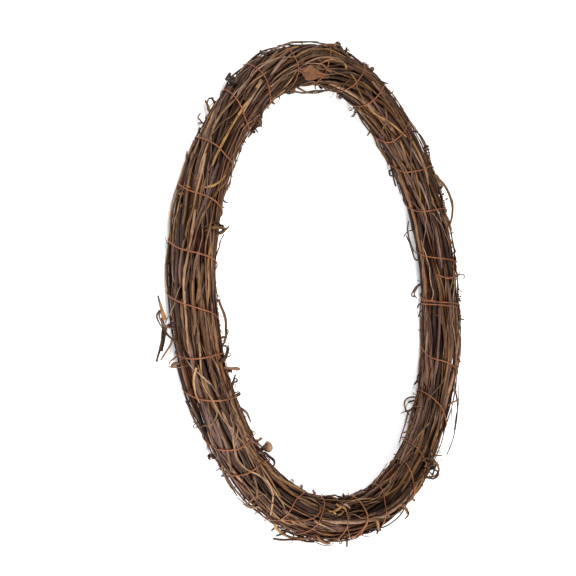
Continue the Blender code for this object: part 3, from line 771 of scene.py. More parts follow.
def knobbly(rng, distance, radius, swelling):
    """Radii of a stem that swells at its nodes and tapers a little after them."""
    radii = radius * (1 + 0.07 * soft_noise(rng, distance, 0.03) + 0.04 * soft_noise(rng, distance, 0.008))
    for at in knots_along(rng, distance):
        size = swelling * rng.uniform(0.4, 1.0)
        radii += radius * size * hump(distance, at, KNOT_WIDTH)
        radii += radius * 0.35 * size * hump(distance, at + 0.004, 0.005)
    return radii


class Bundle:
    """Where every stem stands in the bundle at fine steps round the ring."""

    def __init__(self, most):
        self.place = np.zeros((most, FINE, 2))
        self.radius = np.zeros((most, FINE))
        self.count = 0
        self.tied = 0

    def add(self, start, place, radius):
        steps = (start + np.arange(len(place))) % FINE
        self.place[self.count, steps] = place
        self.radius[self.count, steps] = radius
        self.count += 1

    def rest(self, steps, around, radius):
        """How far out a stem would lie at ring steps, for each direction round the bundle."""
        place = self.place[:self.count, steps % FINE]
        size = self.radius[:self.count, steps % FINE]
        normal = np.stack([np.cos(around), np.sin(around)], -1)
        side = np.stack([-np.sin(around), np.cos(around)], -1)
        ahead = (place[:, :, None] * normal).sum(-1)
        aside = (place[:, :, None] * side).sum(-1)
        reach = np.where(size > 0, size + radius, 0)[:, :, None]
        room = reach ** 2 - aside ** 2
        out = np.where(room > 0, ahead + np.sqrt(np.maximum(room, 0)), 0)
        return out.max(0)

    def hull(self, step, around):
        """Distance from the middle of a taut loop round all the stems, near a ring step."""
        near = np.arange(math.floor(step), math.floor(step) + 2) % FINE
        place = self.place[:self.tied, near].reshape(-1, 2)
        size = self.radius[:self.tied, near].ravel()
        side = around + HULL_SIDES
        reach = place @ np.stack([np.cos(side), np.sin(side)]) + size[:, None]
        return (np.where(size[:, None] > 0, reach, 0).max(0) / np.cos(HULL_SIDES)).min()


def groove_path(cost):
    """Cheapest run through a table of costs, one column a step, with gentle sideways moves."""
    steps, columns = cost.shape
    total = cost[0].copy()
    came = np.zeros((steps, columns), int)
    for k in range(1, steps):
        best = np.full(columns, np.inf)
        for move in range(-SIDEWAYS_REACH, SIDEWAYS_REACH + 1):
            shifted = np.full(columns, np.inf)
            low, high = max(0, -move), columns - max(0, move)
            shifted[low + move:high + move] = total[low:high] + TURNING_COST * move * move
            better = shifted < best
            best = np.where(better, shifted, best)
            came[k] = np.where(better, move, came[k])
        total = best + cost[k]
    column = int(np.argmin(total))
    path = [column]
    for k in range(steps - 1, 0, -1):
        column -= came[k][column]
        path.append(column)
    return np.array(path[::-1])


def eased(values, rounds):
    """Values smoothed along their row, with both ends kept."""
    values = values.copy()
    for _ in range(rounds):
        values[1:-1] = (values[:-2] + 2 * values[1:-1] + values[2:]) / 4
    return values


def lie(bundle, steps, around, radius):
    """Distances from the bundle's middle of a taut stem that lies on the others."""
    rest = bundle.rest(steps, around[:, None], radius)[:, 0]
    out = rest.copy()
    for _ in range(5):
        out[1:-1] = np.maximum(out[1:-1], (out[:-2] + out[2:]) / 2)
    return eased(out, 1)


def lay(bundle, start, wanted, radius):
    """A thin vine's way along the grooves near the wanted one, its distance out and how proud it lies."""
    steps = start + np.arange(len(wanted))
    around = wanted[:, None] + SIDEWAYS
    rest = bundle.rest(steps, around, radius)
    proud = rest + radius - bundle_radius(FINE_ANGLE * steps)[:, None]
    under = LOWEST - (MID_HEIGHT + rest * np.sin(around) - radius)
    stray = STRAY_COST * (SIDEWAYS / SIDEWAYS_STEP) ** 2
    cost = proud / MM + stray + UNDER_COST * np.maximum(under, 0) / MM
    column = groove_path(cost)
    way = eased(wanted + SIDEWAYS[column], 3)
    out = lie(bundle, steps, way, radius)
    excess = out + radius - bundle_radius(FINE_ANGLE * steps)
    low = LOWEST - (MID_HEIGHT + out * np.sin(way) - radius)
    return way, out, max(excess.max(), 5 * low.max())


def wire_angles(turn):
    """Ring angles of the wire after so many turns from the face of the first."""
    places = []
    angles = []
    for lap in (-1, 0, 1):
        for number, turns in enumerate(WIRE_TURNS):
            for part, angle in zip((-0.25, 0, 0.25), turns):
                places.append(lap * len(WIRE_TURNS) + number + part)
                angles.append(math.radians(360 * lap + angle))
    return np.interp(turn, places, angles)


def from_wire(angle, around):
    """Angle along the ring to the nearest turn of the wire."""
    turns = np.arange(len(WIRE_TURNS))[:, None]
    crossing = wire_angles(turns + (around / (math.tau)) % 1 - 0.25)
    away = np.abs((angle - crossing + math.pi) % (math.tau) - math.pi)
    return away.min(0)


def stem_on(start, way, out, radius, rng, tone, ends, wiggle, loose):
    """A stem in world space from its way round the bundle; ends stand off or tuck in."""
    count = len(way)
    step = np.arange(count)
    free = np.clip(from_wire(FINE_ANGLE * (start + step), way) / TIED_ANGLE, 0, 1)
    free = free ** 2 * (3 - 2 * free)
    out = out + loose * free * np.sin(math.pi * np.clip(step / (count - 1), 0, 1)) ** 0.5
    out = out + ends[0] * np.clip(1 - step / 2, 0, 1) + ends[1] * np.clip(1 - (count - 1 - step) / 2, 0, 1)
    turn = smooth(np.stack([FINE_ANGLE * (start + step), way, out], 1), 4)
    distance = (turn[:, 0] - turn[0, 0]) * RING_RADIUS
    around = turn[:, 1] + wiggle * soft_noise(rng, distance, 0.016) / BUNDLE_RADIUS
    across = turn[:, 2] + 0.3 * wiggle * soft_noise(rng, distance, 0.013)
    path = on_bundle(turn[:, 0], around, across)
    radii = knobbly(rng, distance, radius, 0.3)
    left = (distance[-1] - distance) / max(distance[-1], 1e-6)
    radii *= 0.75 + 0.25 * np.minimum(1, left * 3)
    tone = tone + 0.12 * soft_noise(rng, distance, 0.05)
    return Stem(path, radii, tone, math.tau * distance / THIN_RIDGE_TURN)


@functools.lru_cache(maxsize=1)
def settled_vines():
    """The part's own vines, with their side shoots and feet."""
    vines = plan_vines()
    settle(vines)
    for ring, around, radius, steps in SHOOTS:
        vine, path = shoot_path(vines, math.radians(ring), math.radians(around), radius * MM, steps)
        vine.shoots.append((path, radius * MM, BURLS.get(ring, 0.0)))
    return vines


def edge_of_view(angle):
    """Angle round the bundle where the camera sees its edge."""
    return np.arctan2(math.cos(LOOK_DOWN) * np.cos(angle), math.sin(LOOK_DOWN))


def draw_size(rng, kind):
    """A stem's radius, and its steps round the ring."""
    return rng.uniform(*kind.radii) * MM, np.arange(rng.randint(*kind.steps))


def draw_look(rng, kind):
    """A stem's bark, and how far its two ends stand off."""
    return rng.choice(kind.barks), [rng.choice(kind.ends) * MM for _ in range(2)]


def lay_thin_vine(bundle, rng, number):
    """A long thin vine in the grooves between the thick ones."""
    radius, step = draw_size(rng, THIN_VINE)
    choices = []
    for _ in range(TRIES):
        start = rng.randrange(FINE)
        first = math.tau * (number * GOLDEN_SHARE % 1) + rng.uniform(-0.6, 0.6)
        bend = rng.uniform(0.03, 0.18) * np.sin(step * rng.uniform(0.08, 0.18) + any_phase(rng))
        way, out, proud = lay(bundle, start, first + rng.gauss(0.012, 0.016) * step + bend, radius)
        choices.append((max(proud, PROUD_LIMIT), start, way, out))
    _, start, way, out = min(choices, key=lambda choice: choice[0])
    bark, ends = draw_look(rng, THIN_VINE)
    up = MID_HEIGHT + (out + 0.002) * np.sin(way)
    loose = rng.choice((0, 0, 0.001, 0.0025)) if up.min() > 0.005 else 0
    return bark, start, way, out, radius, rng.gauss(*THIN_VINE.tone), ends, THIN_VINE.wiggle, loose


def lay_twig(bundle, rng, _):
    """A short twig aslant over the vines."""
    radius, step = draw_size(rng, TWIG)
    choices = []
    for _ in range(TRIES):
        start = rng.randrange(FINE)
        wanted = rng.uniform(0, math.tau) + rng.choice((-1, 1)) * rng.uniform(0.03, 0.11) * step
        way, out, proud = lay(bundle, start, wanted, radius)
        way = eased(0.3 * way + 0.7 * wanted, 1)
        out = lie(bundle, start + step, way, radius)
        proud = (out + radius - bundle_radius(FINE_ANGLE * (start + step))).max()
        low = (LOWEST - (MID_HEIGHT + out * np.sin(way) - radius)).max()
        choices.append((max(proud, 5 * low, 0.0016), start, way, out))
    proud, start, way, out = min(choices, key=lambda choice: choice[0])
    if proud > PROUDEST_TWIG:
        return None
    bark, ends = draw_look(rng, TWIG)
    return bark, start, way, out, radius, rng.gauss(*TWIG.tone), ends, TWIG.wiggle, 0


def lay_bow(bundle, rng, number):
    """A stem on an edge of the bundle that bows out between the turns of the wire."""
    radius, step = draw_size(rng, BOW)
    start = rng.randrange(FINE)
    edge = edge_of_view(FINE_ANGLE * (start + step)) + math.pi * (number % 3 == 0)
    wanted = edge + rng.gauss(0, 0.14) + rng.gauss(0, 0.01) * step
    out = lie(bundle, start + step, wanted, radius)
    loose = rng.uniform(0.4, 1.8) * MM
    if (MID_HEIGHT + (out + loose + radius) * np.sin(wanted)).min() < 0.001:
        return None
    bark, ends = draw_look(rng, BOW)
    return bark, start, wanted, out, radius, rng.gauss(*BOW.tone), ends, BOW.wiggle, loose


def lay_string(bundle, rng, _):
    """A thin tendril that wanders over the others."""
    radius, step = draw_size(rng, STRING)
    start = rng.randrange(FINE)
    wanted = rng.uniform(0, math.tau) + rng.gauss(0, 0.045) * step
    wanted = wanted + rng.uniform(0.1, 0.4) * np.sin(step * rng.uniform(0.2, 0.55) + any_phase(rng))
    out = lie(bundle, start + step, wanted, radius)
    if (MID_HEIGHT + (out + 0.003) * np.sin(wanted)).min() < LOWEST:
        return None
    bark, ends = draw_look(rng, STRING)
    tone = rng.gauss(*STRING.tone)
    loose = rng.choice((0, 0.0005, 0.001))
    return bark, start, wanted, out, radius, tone, ends, STRING.wiggle, loose


@functools.lru_cache(maxsize=1)
def wound_bundle():
    """The whole bundle: the part's vines, and then the finer stems laid over them."""
    vines = settled_vines()
    looks = bpy.context.scene.wreath_vines
    kinds = (
        (lay_thin_vine, looks.thin_vines), (lay_twig, looks.twigs), (lay_bow, looks.bows),
        (lay_string, looks.strings),
    )
    bundle = Bundle(len(vines) + sum(count for _, count in kinds))
    for vine in vines:
        start = int(round(vine.angles[0] / FINE_ANGLE))
        bundle.add(start, smooth(vine.place, FINE_PER_STATION), vine.radius)
    rng = random.Random(31)
    stems = {bark: [] for bark in BARKS}
    for lay_one, count in kinds:
        for number in range(count):
            found = lay_one(bundle, rng, number)
            if found:
                bark, start, way, out, radius, tone, ends, wiggle, loose = found
                bundle.add(start, np.stack([out * np.cos(way), out * np.sin(way)], 1), radius)
                stems[bark].append(stem_on(start, way, out, radius, rng, tone, ends, wiggle, loose))
        # The wire is drawn tight over all but the strings
        if lay_one is lay_bow:
            bundle.tied = bundle.count
    return bundle, stems


def stem_through(bundle, points, radius, tone, rng):
    """A stem that passes given places, under the wire where it isn't said to stand clear."""
    points = np.array([(*point, 0)[:3] for point in points])
    turn = smooth(points * (math.pi / 180, math.pi / 180, MM), 6)
    steps = np.round(turn[:, 0] / FINE_ANGLE).astype(int)
    rest = np.array([bundle.rest(np.array([step]), np.array([[around]]), radius)[0, 0]
                     for step, around in zip(steps, turn[:, 1])])
    out = rest.copy()
    for _ in range(8):
        out[1:-1] = np.maximum(out[1:-1], (out[:-2] + out[2:]) / 2)
    out = eased(out, 2) + turn[:, 2]
    taut = np.array([bundle.hull(at / FINE_ANGLE, around) for at, around, _ in turn])
    way = along_path(on_bundle(turn[:, 0], turn[:, 1], out))
    # Where it doesn't stand clear it keeps under the wire, and both its ends dive in
    dive = np.clip(1 - np.minimum(way, way[-1] - way) / (5 * MM), 0, 1) ** 2
    tucked = np.minimum(out, taut - radius + 0.5 * MM) - 2 * radius * dive
    out = np.where(turn[:, 2] < 0.05 * MM, tucked, out)
    path = smooth(on_bundle(turn[:, 0], turn[:, 1], out), 2)
    distance = along_path(path)
    radii = knobbly(rng, distance, radius, 0.2) * taper(distance[-1] - distance, 0.65, 0.012)
    return Stem(path, radii, tone + 0.1 * soft_noise(rng, distance, 0.03), STEM_TWIST * distance)


def local_axes(angle, around):
    """Directions along the ring, round the bundle and out of it."""
    outward = np.array([math.cos(angle), math.sin(angle), 0])
    up = np.array([0, 0, 1.0])
    along = np.array([-math.sin(angle), math.cos(angle), 0])
    normal = outward * math.cos(around) + up * math.sin(around)
    aside = up * math.cos(around) - outward * math.sin(around)
    return along, aside, normal


def clear_of_limits(path):
    """Whether a path stays above the floor and inside the part's own box."""
    low, high = np.array(CAD_BOX[0]), np.array(CAD_BOX[1])
    below = high + (BOX_MARGIN, BOX_MARGIN, 0) - path
    above_low = path - low + (BOX_MARGIN, BOX_MARGIN, -FLOOR_ROOM)
    return (below > 0).all() and (above_low > 0).all()


def curl(rng, root, axes, radius, coil):
    """A tendril that rises from the bundle and winds up in a coil."""
    along, aside, normal = axes
    lean = rng.uniform(0, math.tau)
    across = along * math.cos(lean) + aside * math.sin(lean)
    rise = rng.uniform(1.0, 3.5) * MM
    turns = rng.uniform(0.45, 1.9)
    count = int(10 + 9 * turns)
    part = np.linspace(0, 1, count)
    turn = math.tau * turns * part
    size = coil * (1 - 0.55 * part)
    drift = rng.uniform(-2.5, 2.5) * MM * part
    other = np.cross(across, normal)
    middle = root + normal * rise
    loop = (middle + across * (coil - size * np.cos(turn))[:, None]
            + normal * (size * np.sin(turn))[:, None] + other * drift[:, None])
    path = smooth(np.concatenate([[root - normal * ROOT_DEPTH, root + normal * 0.4 * rise], loop]), 2)
    part = np.linspace(0, 1, len(path))
    return path, radius * (1 - 0.45 * part)


def stub(rng, root, axes, radius, length):
    """A short pruned shoot with a thick root."""
    along, aside, normal = axes
    lean = rng.uniform(-0.9, 0.9)
    tip = root + normal * length + along * length * lean + aside * length * rng.uniform(-0.5, 0.5)
    bend = (root + tip) / 2 + along * rng.uniform(-0.25, 0.25) * length
    path = smooth([root - normal * MM, root + normal * 0.2 * length, bend, tip], 4)
    part = np.linspace(0, 1, len(path))
    radii = radius * (1 - 0.25 * part + 0.35 * hump(part, 0, 0.2))
    return path, radii * (1 + 0.25 * hump(part, rng.uniform(0.6, 0.95), 0.12))


def wisp(rng, root, axes, radius, length):
    """A thin crooked twig that stands off the bundle."""
    along, aside, normal = axes
    heading = along * rng.choice((-1, 1)) * rng.uniform(0.5, 1) + aside * rng.uniform(-0.6, 0.6)
    points = [root - normal * ROOT_DEPTH, root + normal * 0.6 * MM]
    at = points[-1]
    lift = rng.uniform(0.2, 0.9)
    for _ in range(4):
        step = heading + normal * lift + along * rng.uniform(-0.35, 0.35) + aside * rng.uniform(-0.35, 0.35)
        at = at + step / np.linalg.norm(step) * length / 4
        points.append(at)
        lift -= rng.uniform(0.1, 0.7)
    path = smooth(points, 4)
    part = np.linspace(0, 1, len(path))
    return path, radius * (1 - 0.5 * part)


def strip(rng, root, axes, radius, length):
    """A shred of bark that peels off and curls away."""
    along, aside, normal = axes
    heading = along * rng.choice((-1, 1)) + aside * rng.uniform(-0.5, 0.5)
    part = np.linspace(0, 1, 12)
    bend = rng.uniform(0.5, 2.6)
    reach = np.sin(bend * part) / bend
    rise = (1 - np.cos(bend * part)) / bend
    path = root + length * (heading * reach[:, None] + normal * (rise[:, None] - 0.04))
    path = path + aside * (0.1 * length * np.sin(3 * part + any_phase(rng)))[:, None]
    return path, radius * np.sqrt(1.02 - (2 * part - 1) ** 2)


def grow_one(rng, bundle, stems, make, angle, around, radius, size, tone):
    """Add one small stem at a place on the bundle, unless it would leave the part's box."""
    step = np.array([int(angle / FINE_ANGLE)])
    root = on_bundle(angle, around, bundle.rest(step, np.array([[around]]), 0.0)[0, 0])
    path, radii = make(rng, root, local_axes(angle, around), radius * MM, size * MM)
    if clear_of_limits(path):
        bark = rng.choice(THICK_BARKS)
        stems[bark].append(Stem(path, radii, rng.gauss(tone, 0.12), SMALL_TWIST * along_path(path)))


def growth(rng, bundle, count, make, radius_range, size_range, tone):
    """Small stems of one kind all over the bundle, most on its two edges, in their three barks."""
    stems = {bark: [] for bark in BARKS}
    for _ in range(count):
        angle = rng.uniform(0, math.tau)
        edge = float(edge_of_view(angle)) + rng.choice((0, math.pi)) + rng.gauss(0, 0.3)
        around = rng.choice((edge, rng.uniform(0, math.tau)))
        grow_one(rng, bundle, stems, make, angle, around,
                 rng.uniform(*radius_range), rng.uniform(*size_range), tone)
    return stems


def grow_plain_curls(rng, bundle, stems):
    """The curls and burrs that the photograph shows, each near its place."""
    for ring, around, coil, number in PLAIN_CURLS:
        thick, tight = BURR if coil < BURR_SIZE else COIL
        for _ in range(number):
            grow_one(rng, bundle, stems, curl, math.radians(ring + rng.uniform(-0.7, 0.7)),
                     math.radians(around + rng.uniform(-8, 8)), thick * rng.uniform(0.28, 0.45),
                     coil * tight * rng.uniform(0.8, 1.2), CURL_TONE)


def unpick():
    bpy.ops.object.select_all(action="DESELECT")


def pick(item):
    unpick()
    item.select_set(True)
    bpy.context.view_layer.objects.active = item


def mend(item, threshold=0.000004):
    """Close the seams of a new mesh and point its faces outwards."""
    pick(item)
    bpy.ops.object.mode_set(mode="EDIT")
    bpy.ops.mesh.select_all(action="SELECT")
    bpy.ops.mesh.remove_doubles(threshold=threshold)
    bpy.ops.mesh.normals_make_consistent(inside=False)
    bpy.ops.object.mode_set(mode="OBJECT")


@functools.lru_cache(maxsize=None)
def profile(sides, ridges, flat):
    """A stem's outline in section, kept as a curve to sweep along stems."""
    unpick()
    bpy.ops.mesh.primitive_circle_add(vertices=sides, radius=1)
    outline = bpy.context.object
    outline.name = f"section_{sides}_{int(100 * ridges)}_{int(100 * flat)}"
    for k, vertex in enumerate(outline.data.vertices):
        turn = math.tau * k / sides
        uneven = math.sin(2 * turn + 0.7) + 0.8 * math.cos(3 * turn) + 0.6 * math.cos(5 * turn + 2)
        vertex.co *= 1 + ridges * uneven
        vertex.co.y *= flat
    bpy.ops.object.convert(target="CURVE")
    outline.hide_render = True
    return outline


def sweep(name, stems, outline):
    """One mesh of closed stems, with bark coordinates written on it."""
    unpick()
    bpy.ops.curve.primitive_nurbs_path_add(location=(0, 0, 0))
    item = bpy.context.object
    item.name = name
    curve = item.data
    curve.splines.clear()
    curve.bevel_mode = "OBJECT"
    curve.bevel_object = outline
    curve.use_fill_caps = True
    for stem in stems:
        spline = curve.splines.new("POLY")
        spline.points.add(len(stem.path) - 1)
        spline.points.foreach_set("co", np.c_[stem.path, np.ones(len(stem.path))].ravel())
        spline.points.foreach_set("radius", stem.radii)
        spline.points.foreach_set("tilt", stem.tilt)
    bpy.ops.object.convert(target="MESH")
    item.data.name = name
    write_bark(item.data, stems, len(outline.data.splines[0].points))
    mend(item)
    return item


def points_of(mesh):
    points = np.zeros(3 * len(mesh.vertices))
    mesh.vertices.foreach_get("co", points)
    return points.reshape(-1, 3)


def depth_of(points, middles):
    """Distance from the bundle's middle as a share of its radius, less on a stem's flanks. It sets the
    painted shade deep in the bundle and on the flanks.
    """
    angle, out, up = from_world(points)
    reach = np.hypot(out, up)
    outward = np.stack([out * np.cos(angle), out * np.sin(angle), up], 1) / reach[:, None]
    skin = points - middles
    facing = (skin * outward).sum(1) / np.maximum(np.linalg.norm(skin, axis=1), 1e-6)
    return reach / bundle_radius(angle) - FLANK_SHADE * (1 - np.clip(facing, 0, 1))


def write_bark(mesh, stems, sides):
    """Give every point its place on its stem's skin, its tone and warmth, and its depth in the bundle,
    which sets the painted shade.
    """
    turn = math.tau * np.arange(sides) / sides
    rng = random.Random(mesh.name)
    skins, tones, middles = [], [], []
    ends = []
    for number, stem in enumerate(stems):
        distance = along_path(stem.path) + STEM_SHIFT * number
        size = stem.radii.mean()
        skin = np.stack([
            np.tile(size * np.cos(turn), (len(distance), 1)),
            np.tile(size * np.sin(turn), (len(distance), 1)),
            np.tile(distance[:, None], (1, sides)),
        ], -1)
        warmth = np.full(len(distance), rng.gauss(*WARMTH) + PALE_WARMTH * stem.tone.mean())
        tone = np.tile(np.stack([stem.tone, warmth, warmth], -1)[:, None], (1, sides, 1))
        middle = np.repeat(stem.path[:, None], sides, 1)
        skins.append(skin.reshape(-1, 3))
        tones.append(tone.reshape(-1, 3))
        middles.append(middle.reshape(-1, 3))
        ends = [(skin[-1], tone[-1], middle[-1]), (skin[0], tone[0], middle[0])] + ends
    # The caps come first in the mesh, last stem first
    skin = np.concatenate([end[0] for end in ends] + skins)
    tone = np.concatenate([end[1] for end in ends] + tones)
    middle = np.concatenate([end[2] for end in ends] + middles)
    if len(skin) != len(mesh.vertices):
        raise RuntimeError(f"{mesh.name}: {len(mesh.vertices)} points, {len(skin)} expected")
    mesh.attributes.new("skin", "FLOAT_VECTOR", "POINT").data.foreach_set("vector", skin.ravel())
    mesh.attributes.new("tone", "FLOAT_VECTOR", "POINT").data.foreach_set("vector", tone.ravel())
    # The depth sets the painted shade deep in the bundle and on the stems' flanks
    mesh.attributes.new("depth", "FLOAT", "POINT").data.foreach_set(
        "value", depth_of(points_of(mesh), middle))


def roughen(item, size, height):
    """Press lumps and hollows into a stem."""
    lumps = bpy.data.textures.get("bark_lumps") or bpy.data.textures.new("bark_lumps", "CLOUDS")
    lumps.noise_scale = size
    pick(item)
    bpy.ops.object.modifier_add(type="DISPLACE")
    change = item.modifiers[-1]
    change.texture = lumps
    change.texture_coords = "LOCAL"
    change.strength = height
    change.mid_level = 0.5
    bpy.ops.object.modifier_apply(modifier=change.name)


def place_piece(item, slot, material, *nodes):
    """Finish a piece: feet on the floor, shading, material, body and the nodes it stands for. The slot
    argument is not used.
    """
    points = points_of(item.data)
    points[:, 2] = np.maximum(points[:, 2], 0)
    item.data.vertices.foreach_set("co", points.ravel())
    pick(item)
    bpy.ops.object.shade_smooth_by_angle(angle=SHADE_ANGLE)
    item.data.materials.clear()
    item.data.materials.append(material)
    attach(item, "root")
    if nodes:
        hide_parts(*nodes)


def add_node(tree, kind, values=(), **settings):
    """A node with its settings, and with values or links on its inputs."""
    node = tree.nodes.new(kind)
    for key, value in settings.items():
        setattr(node, key, value)
    for socket, value in values:
        if isinstance(value, bpy.types.NodeSocket):
            tree.links.new(value, node.inputs[socket])
        else:
            node.inputs[socket].default_value = value
    return node


def new_group(name, inputs, outputs):
    """An empty shader group with named sockets, and its two end nodes."""
    tree = bpy.data.node_groups.new(name, "ShaderNodeTree")
    for label, kind, default in inputs:
        socket = tree.interface.new_socket(name=label, in_out="INPUT", socket_type=kind)
        if default is not None:
            socket.default_value = default
    for label, kind in outputs:
        tree.interface.new_socket(name=label, in_out="OUTPUT", socket_type=kind)
    return tree, tree.nodes.new("NodeGroupInput"), tree.nodes.new("NodeGroupOutput")


def new_material(name):
    """A material with its nodes and its shader."""
    material = bpy.data.materials.new(name)
    material.use_nodes = True
    return material, material.node_tree, material.node_tree.nodes["Principled BSDF"]


def noise_on(tree, vector, scale, detail):
    """Noise stretched by a scale for each direction of the skin."""
    stretched = add_node(tree, "ShaderNodeMapping", [("Vector", vector), ("Scale", scale)])
    return add_node(tree, "ShaderNodeTexNoise", [
        ("Vector", stretched.outputs["Vector"]), ("Scale", 1.0), ("Detail", detail), ("Roughness", 0.6),
    ]).outputs["Fac"]


def math_node(tree, operation, first, second):
    return add_node(tree, "ShaderNodeMath", [(0, first), (1, second)], operation=operation).outputs[0]


def total(tree, first, second):
    return math_node(tree, "ADD", first, second)


def scaled(tree, value, share):
    return math_node(tree, "MULTIPLY", value, share)


def spread(tree, value, low, high, to_low=0.0, to_high=1.0):
    return add_node(tree, "ShaderNodeMapRange", [
        ("Value", value), ("From Min", low), ("From Max", high), ("To Min", to_low), ("To Max", to_high),
    ]).outputs["Result"]


def mixed(tree, share, first, second, blend="MIX"):
    node = add_node(tree, "ShaderNodeMix", [("Factor", share)], data_type="RGBA", blend_type=blend)
    for number, value in ((6, first), (7, second)):
        if isinstance(value, bpy.types.NodeSocket):
            tree.links.new(value, node.inputs[number])
        else:
            node.inputs[number].default_value = value
    return node.outputs[2]


def tinted(tree, colour, tint):
    return mixed(tree, 1.0, colour, tint, "MULTIPLY")


LEAF_DARK = (0.087, 0.029, 0.008, 1)
LEAF_LIGHT = (0.195, 0.072, 0.018, 1)
LEAF_VEINS = (0.062, 0.022, 0.008, 1)

# Streaks of bark in a metre, across the skin both ways and along the stem, and their colours
FIBRES = (900, 900, 12)
STRIPS = (330, 330, 6)
PATCHES = (90, 90, 22)
FLECKS = (800, 800, 170)
FIBRE_SHARE = 0.62
COOL_BARK = (0.95, 0.935, 1.03, 1)
WARM_BARK = (1.10, 0.96, 0.45, 1)
# Colour of the painted shade deep in the bundle, and the unshaded white that it blends to
DEEP_SHADE = (0.34, 0.20, 0.095, 1)
OPEN_LIGHT = (1, 1, 1, 1)
BARK_SHINE = 0.18


@functools.lru_cache(maxsize=1)
def bark_group():
    """Fibrous bark: long streaks, peeled patches, and painted shade deep in the bundle and on the stems'
    flanks.
    """
    tree, entry, end = new_group("bark", (
        ("Skin", "NodeSocketVector", None),
        ("Tone", "NodeSocketFloat", 0.0),
        ("Warmth", "NodeSocketFloat", 0.5),
        ("Depth", "NodeSocketFloat", 1.0),
        ("Dark", "NodeSocketColor", (0.03, 0.02, 0.015, 1)),
        ("Light", "NodeSocketColor", (0.2, 0.12, 0.07, 1)),
        ("Peeled", "NodeSocketColor", (0.4, 0.25, 0.12, 1)),
        ("Peeling", "NodeSocketFloat", 0.3),
    ), (("Color", "NodeSocketColor"), ("Roughness", "NodeSocketFloat"), ("Height", "NodeSocketFloat")))
    skin = entry.outputs["Skin"]
    fibres = noise_on(tree, skin, FIBRES, 3)
    strips = noise_on(tree, skin, STRIPS, 2)
    patches = noise_on(tree, skin, PATCHES, 2)
    flecks = noise_on(tree, skin, FLECKS, 2)
    tone = entry.outputs["Tone"]
    streaks = total(tree, scaled(tree, fibres, FIBRE_SHARE), scaled(tree, strips, 1 - FIBRE_SHARE))
    streaked = spread(tree, total(tree, streaks, tone), 0.375, 0.635)
    colour = mixed(tree, streaked, entry.outputs["Dark"], entry.outputs["Light"])
    # Peeled patches, more of them on pale stems
    worn = total(tree, total(tree, patches, scaled(tree, strips, 0.5)), scaled(tree, tone, 0.6))
    edge = math_node(tree, "SUBTRACT", 1.1, scaled(tree, entry.outputs["Peeling"], 0.6))
    peel = spread(tree, math_node(tree, "SUBTRACT", worn, edge), -0.05, 0.07)
    colour = mixed(tree, peel, colour, entry.outputs["Peeled"])
    colour = tinted(tree, colour, spread(tree, flecks, 0.34, 0.54, 0.5, 1.02))
    colour = tinted(tree, colour, mixed(tree, entry.outputs["Warmth"], COOL_BARK, WARM_BARK))
    # Painted shade deep in the bundle and on the stems' flanks
    shade = spread(tree, entry.outputs["Depth"], 0.82, 0.98)
    colour = tinted(tree, colour, mixed(tree, shade, DEEP_SHADE, OPEN_LIGHT))
    dull = spread(tree, shade, 0.0, 1.0, 0.35, 0.0)
    roughness = total(tree, spread(tree, streaks, 0.3, 0.7, 0.72, 0.5), dull)
    relief = total(tree, streaks, scaled(tree, flecks, 0.25))
    for name, value in (("Color", colour), ("Roughness", roughness), ("Height", relief)):
        tree.links.new(value, end.inputs[name])
    return tree


@functools.lru_cache(maxsize=None)
def bark_material(bark):
    looks = getattr(bpy.context.scene.wreath_bark, bark)
    material, tree, shader = new_material(f"{bark}_skin")
    skin = add_node(tree, "ShaderNodeAttribute", attribute_name="skin")
    tone = add_node(tree, "ShaderNodeAttribute", attribute_name="tone")
    depth = add_node(tree, "ShaderNodeAttribute", attribute_name="depth")
    group = add_node(tree, "ShaderNodeGroup", node_tree=bark_group())
    tree.links.new(skin.outputs["Vector"], group.inputs["Skin"])
    parts = add_node(tree, "ShaderNodeSeparateXYZ", [("Vector", tone.outputs["Vector"])])
    tree.links.new(parts.outputs["X"], group.inputs["Tone"])
    tree.links.new(parts.outputs["Y"], group.inputs["Warmth"])
    tree.links.new(depth.outputs["Fac"], group.inputs["Depth"])
    group.inputs["Dark"].default_value = (*looks.dark, 1)
    group.inputs["Light"].default_value = (*looks.light, 1)
    group.inputs["Peeled"].default_value = (*looks.peeled, 1)
    group.inputs["Peeling"].default_value = looks.peeling
    bump = add_node(tree, "ShaderNodeBump", [
        ("Height", group.outputs["Height"]), ("Distance", 0.0004), ("Strength", 0.8)])
    tree.links.new(group.outputs["Color"], shader.inputs["Base Color"])
    tree.links.new(group.outputs["Roughness"], shader.inputs["Roughness"])
    tree.links.new(bump.outputs["Normal"], shader.inputs["Normal"])
    shader.inputs["Specular IOR Level"].default_value = BARK_SHINE
    return material


def wire_material():
    """Copper that has gone dull in spots."""
    looks = bpy.context.scene.wreath_wire
    material, tree, shader = new_material("copper_wire_finish")
    place = add_node(tree, "ShaderNodeTexCoord").outputs["Object"]
    dull = noise_on(tree, place, (120, 120, 120), 3)
    spots = noise_on(tree, place, (900, 900, 900), 2)
    tarnish = spread(tree, total(tree, dull, scaled(tree, spots, 0.3)), 0.5, 0.85)
    colour = mixed(tree, tarnish, (*looks.bright, 1), (*looks.tarnished, 1))
    tree.links.new(colour, shader.inputs["Base Color"])
    tree.links.new(spread(tree, spots, 0.3, 0.7, 0.44, 0.64), shader.inputs["Roughness"])
    shader.inputs["Metallic"].default_value = 0.35
    return material


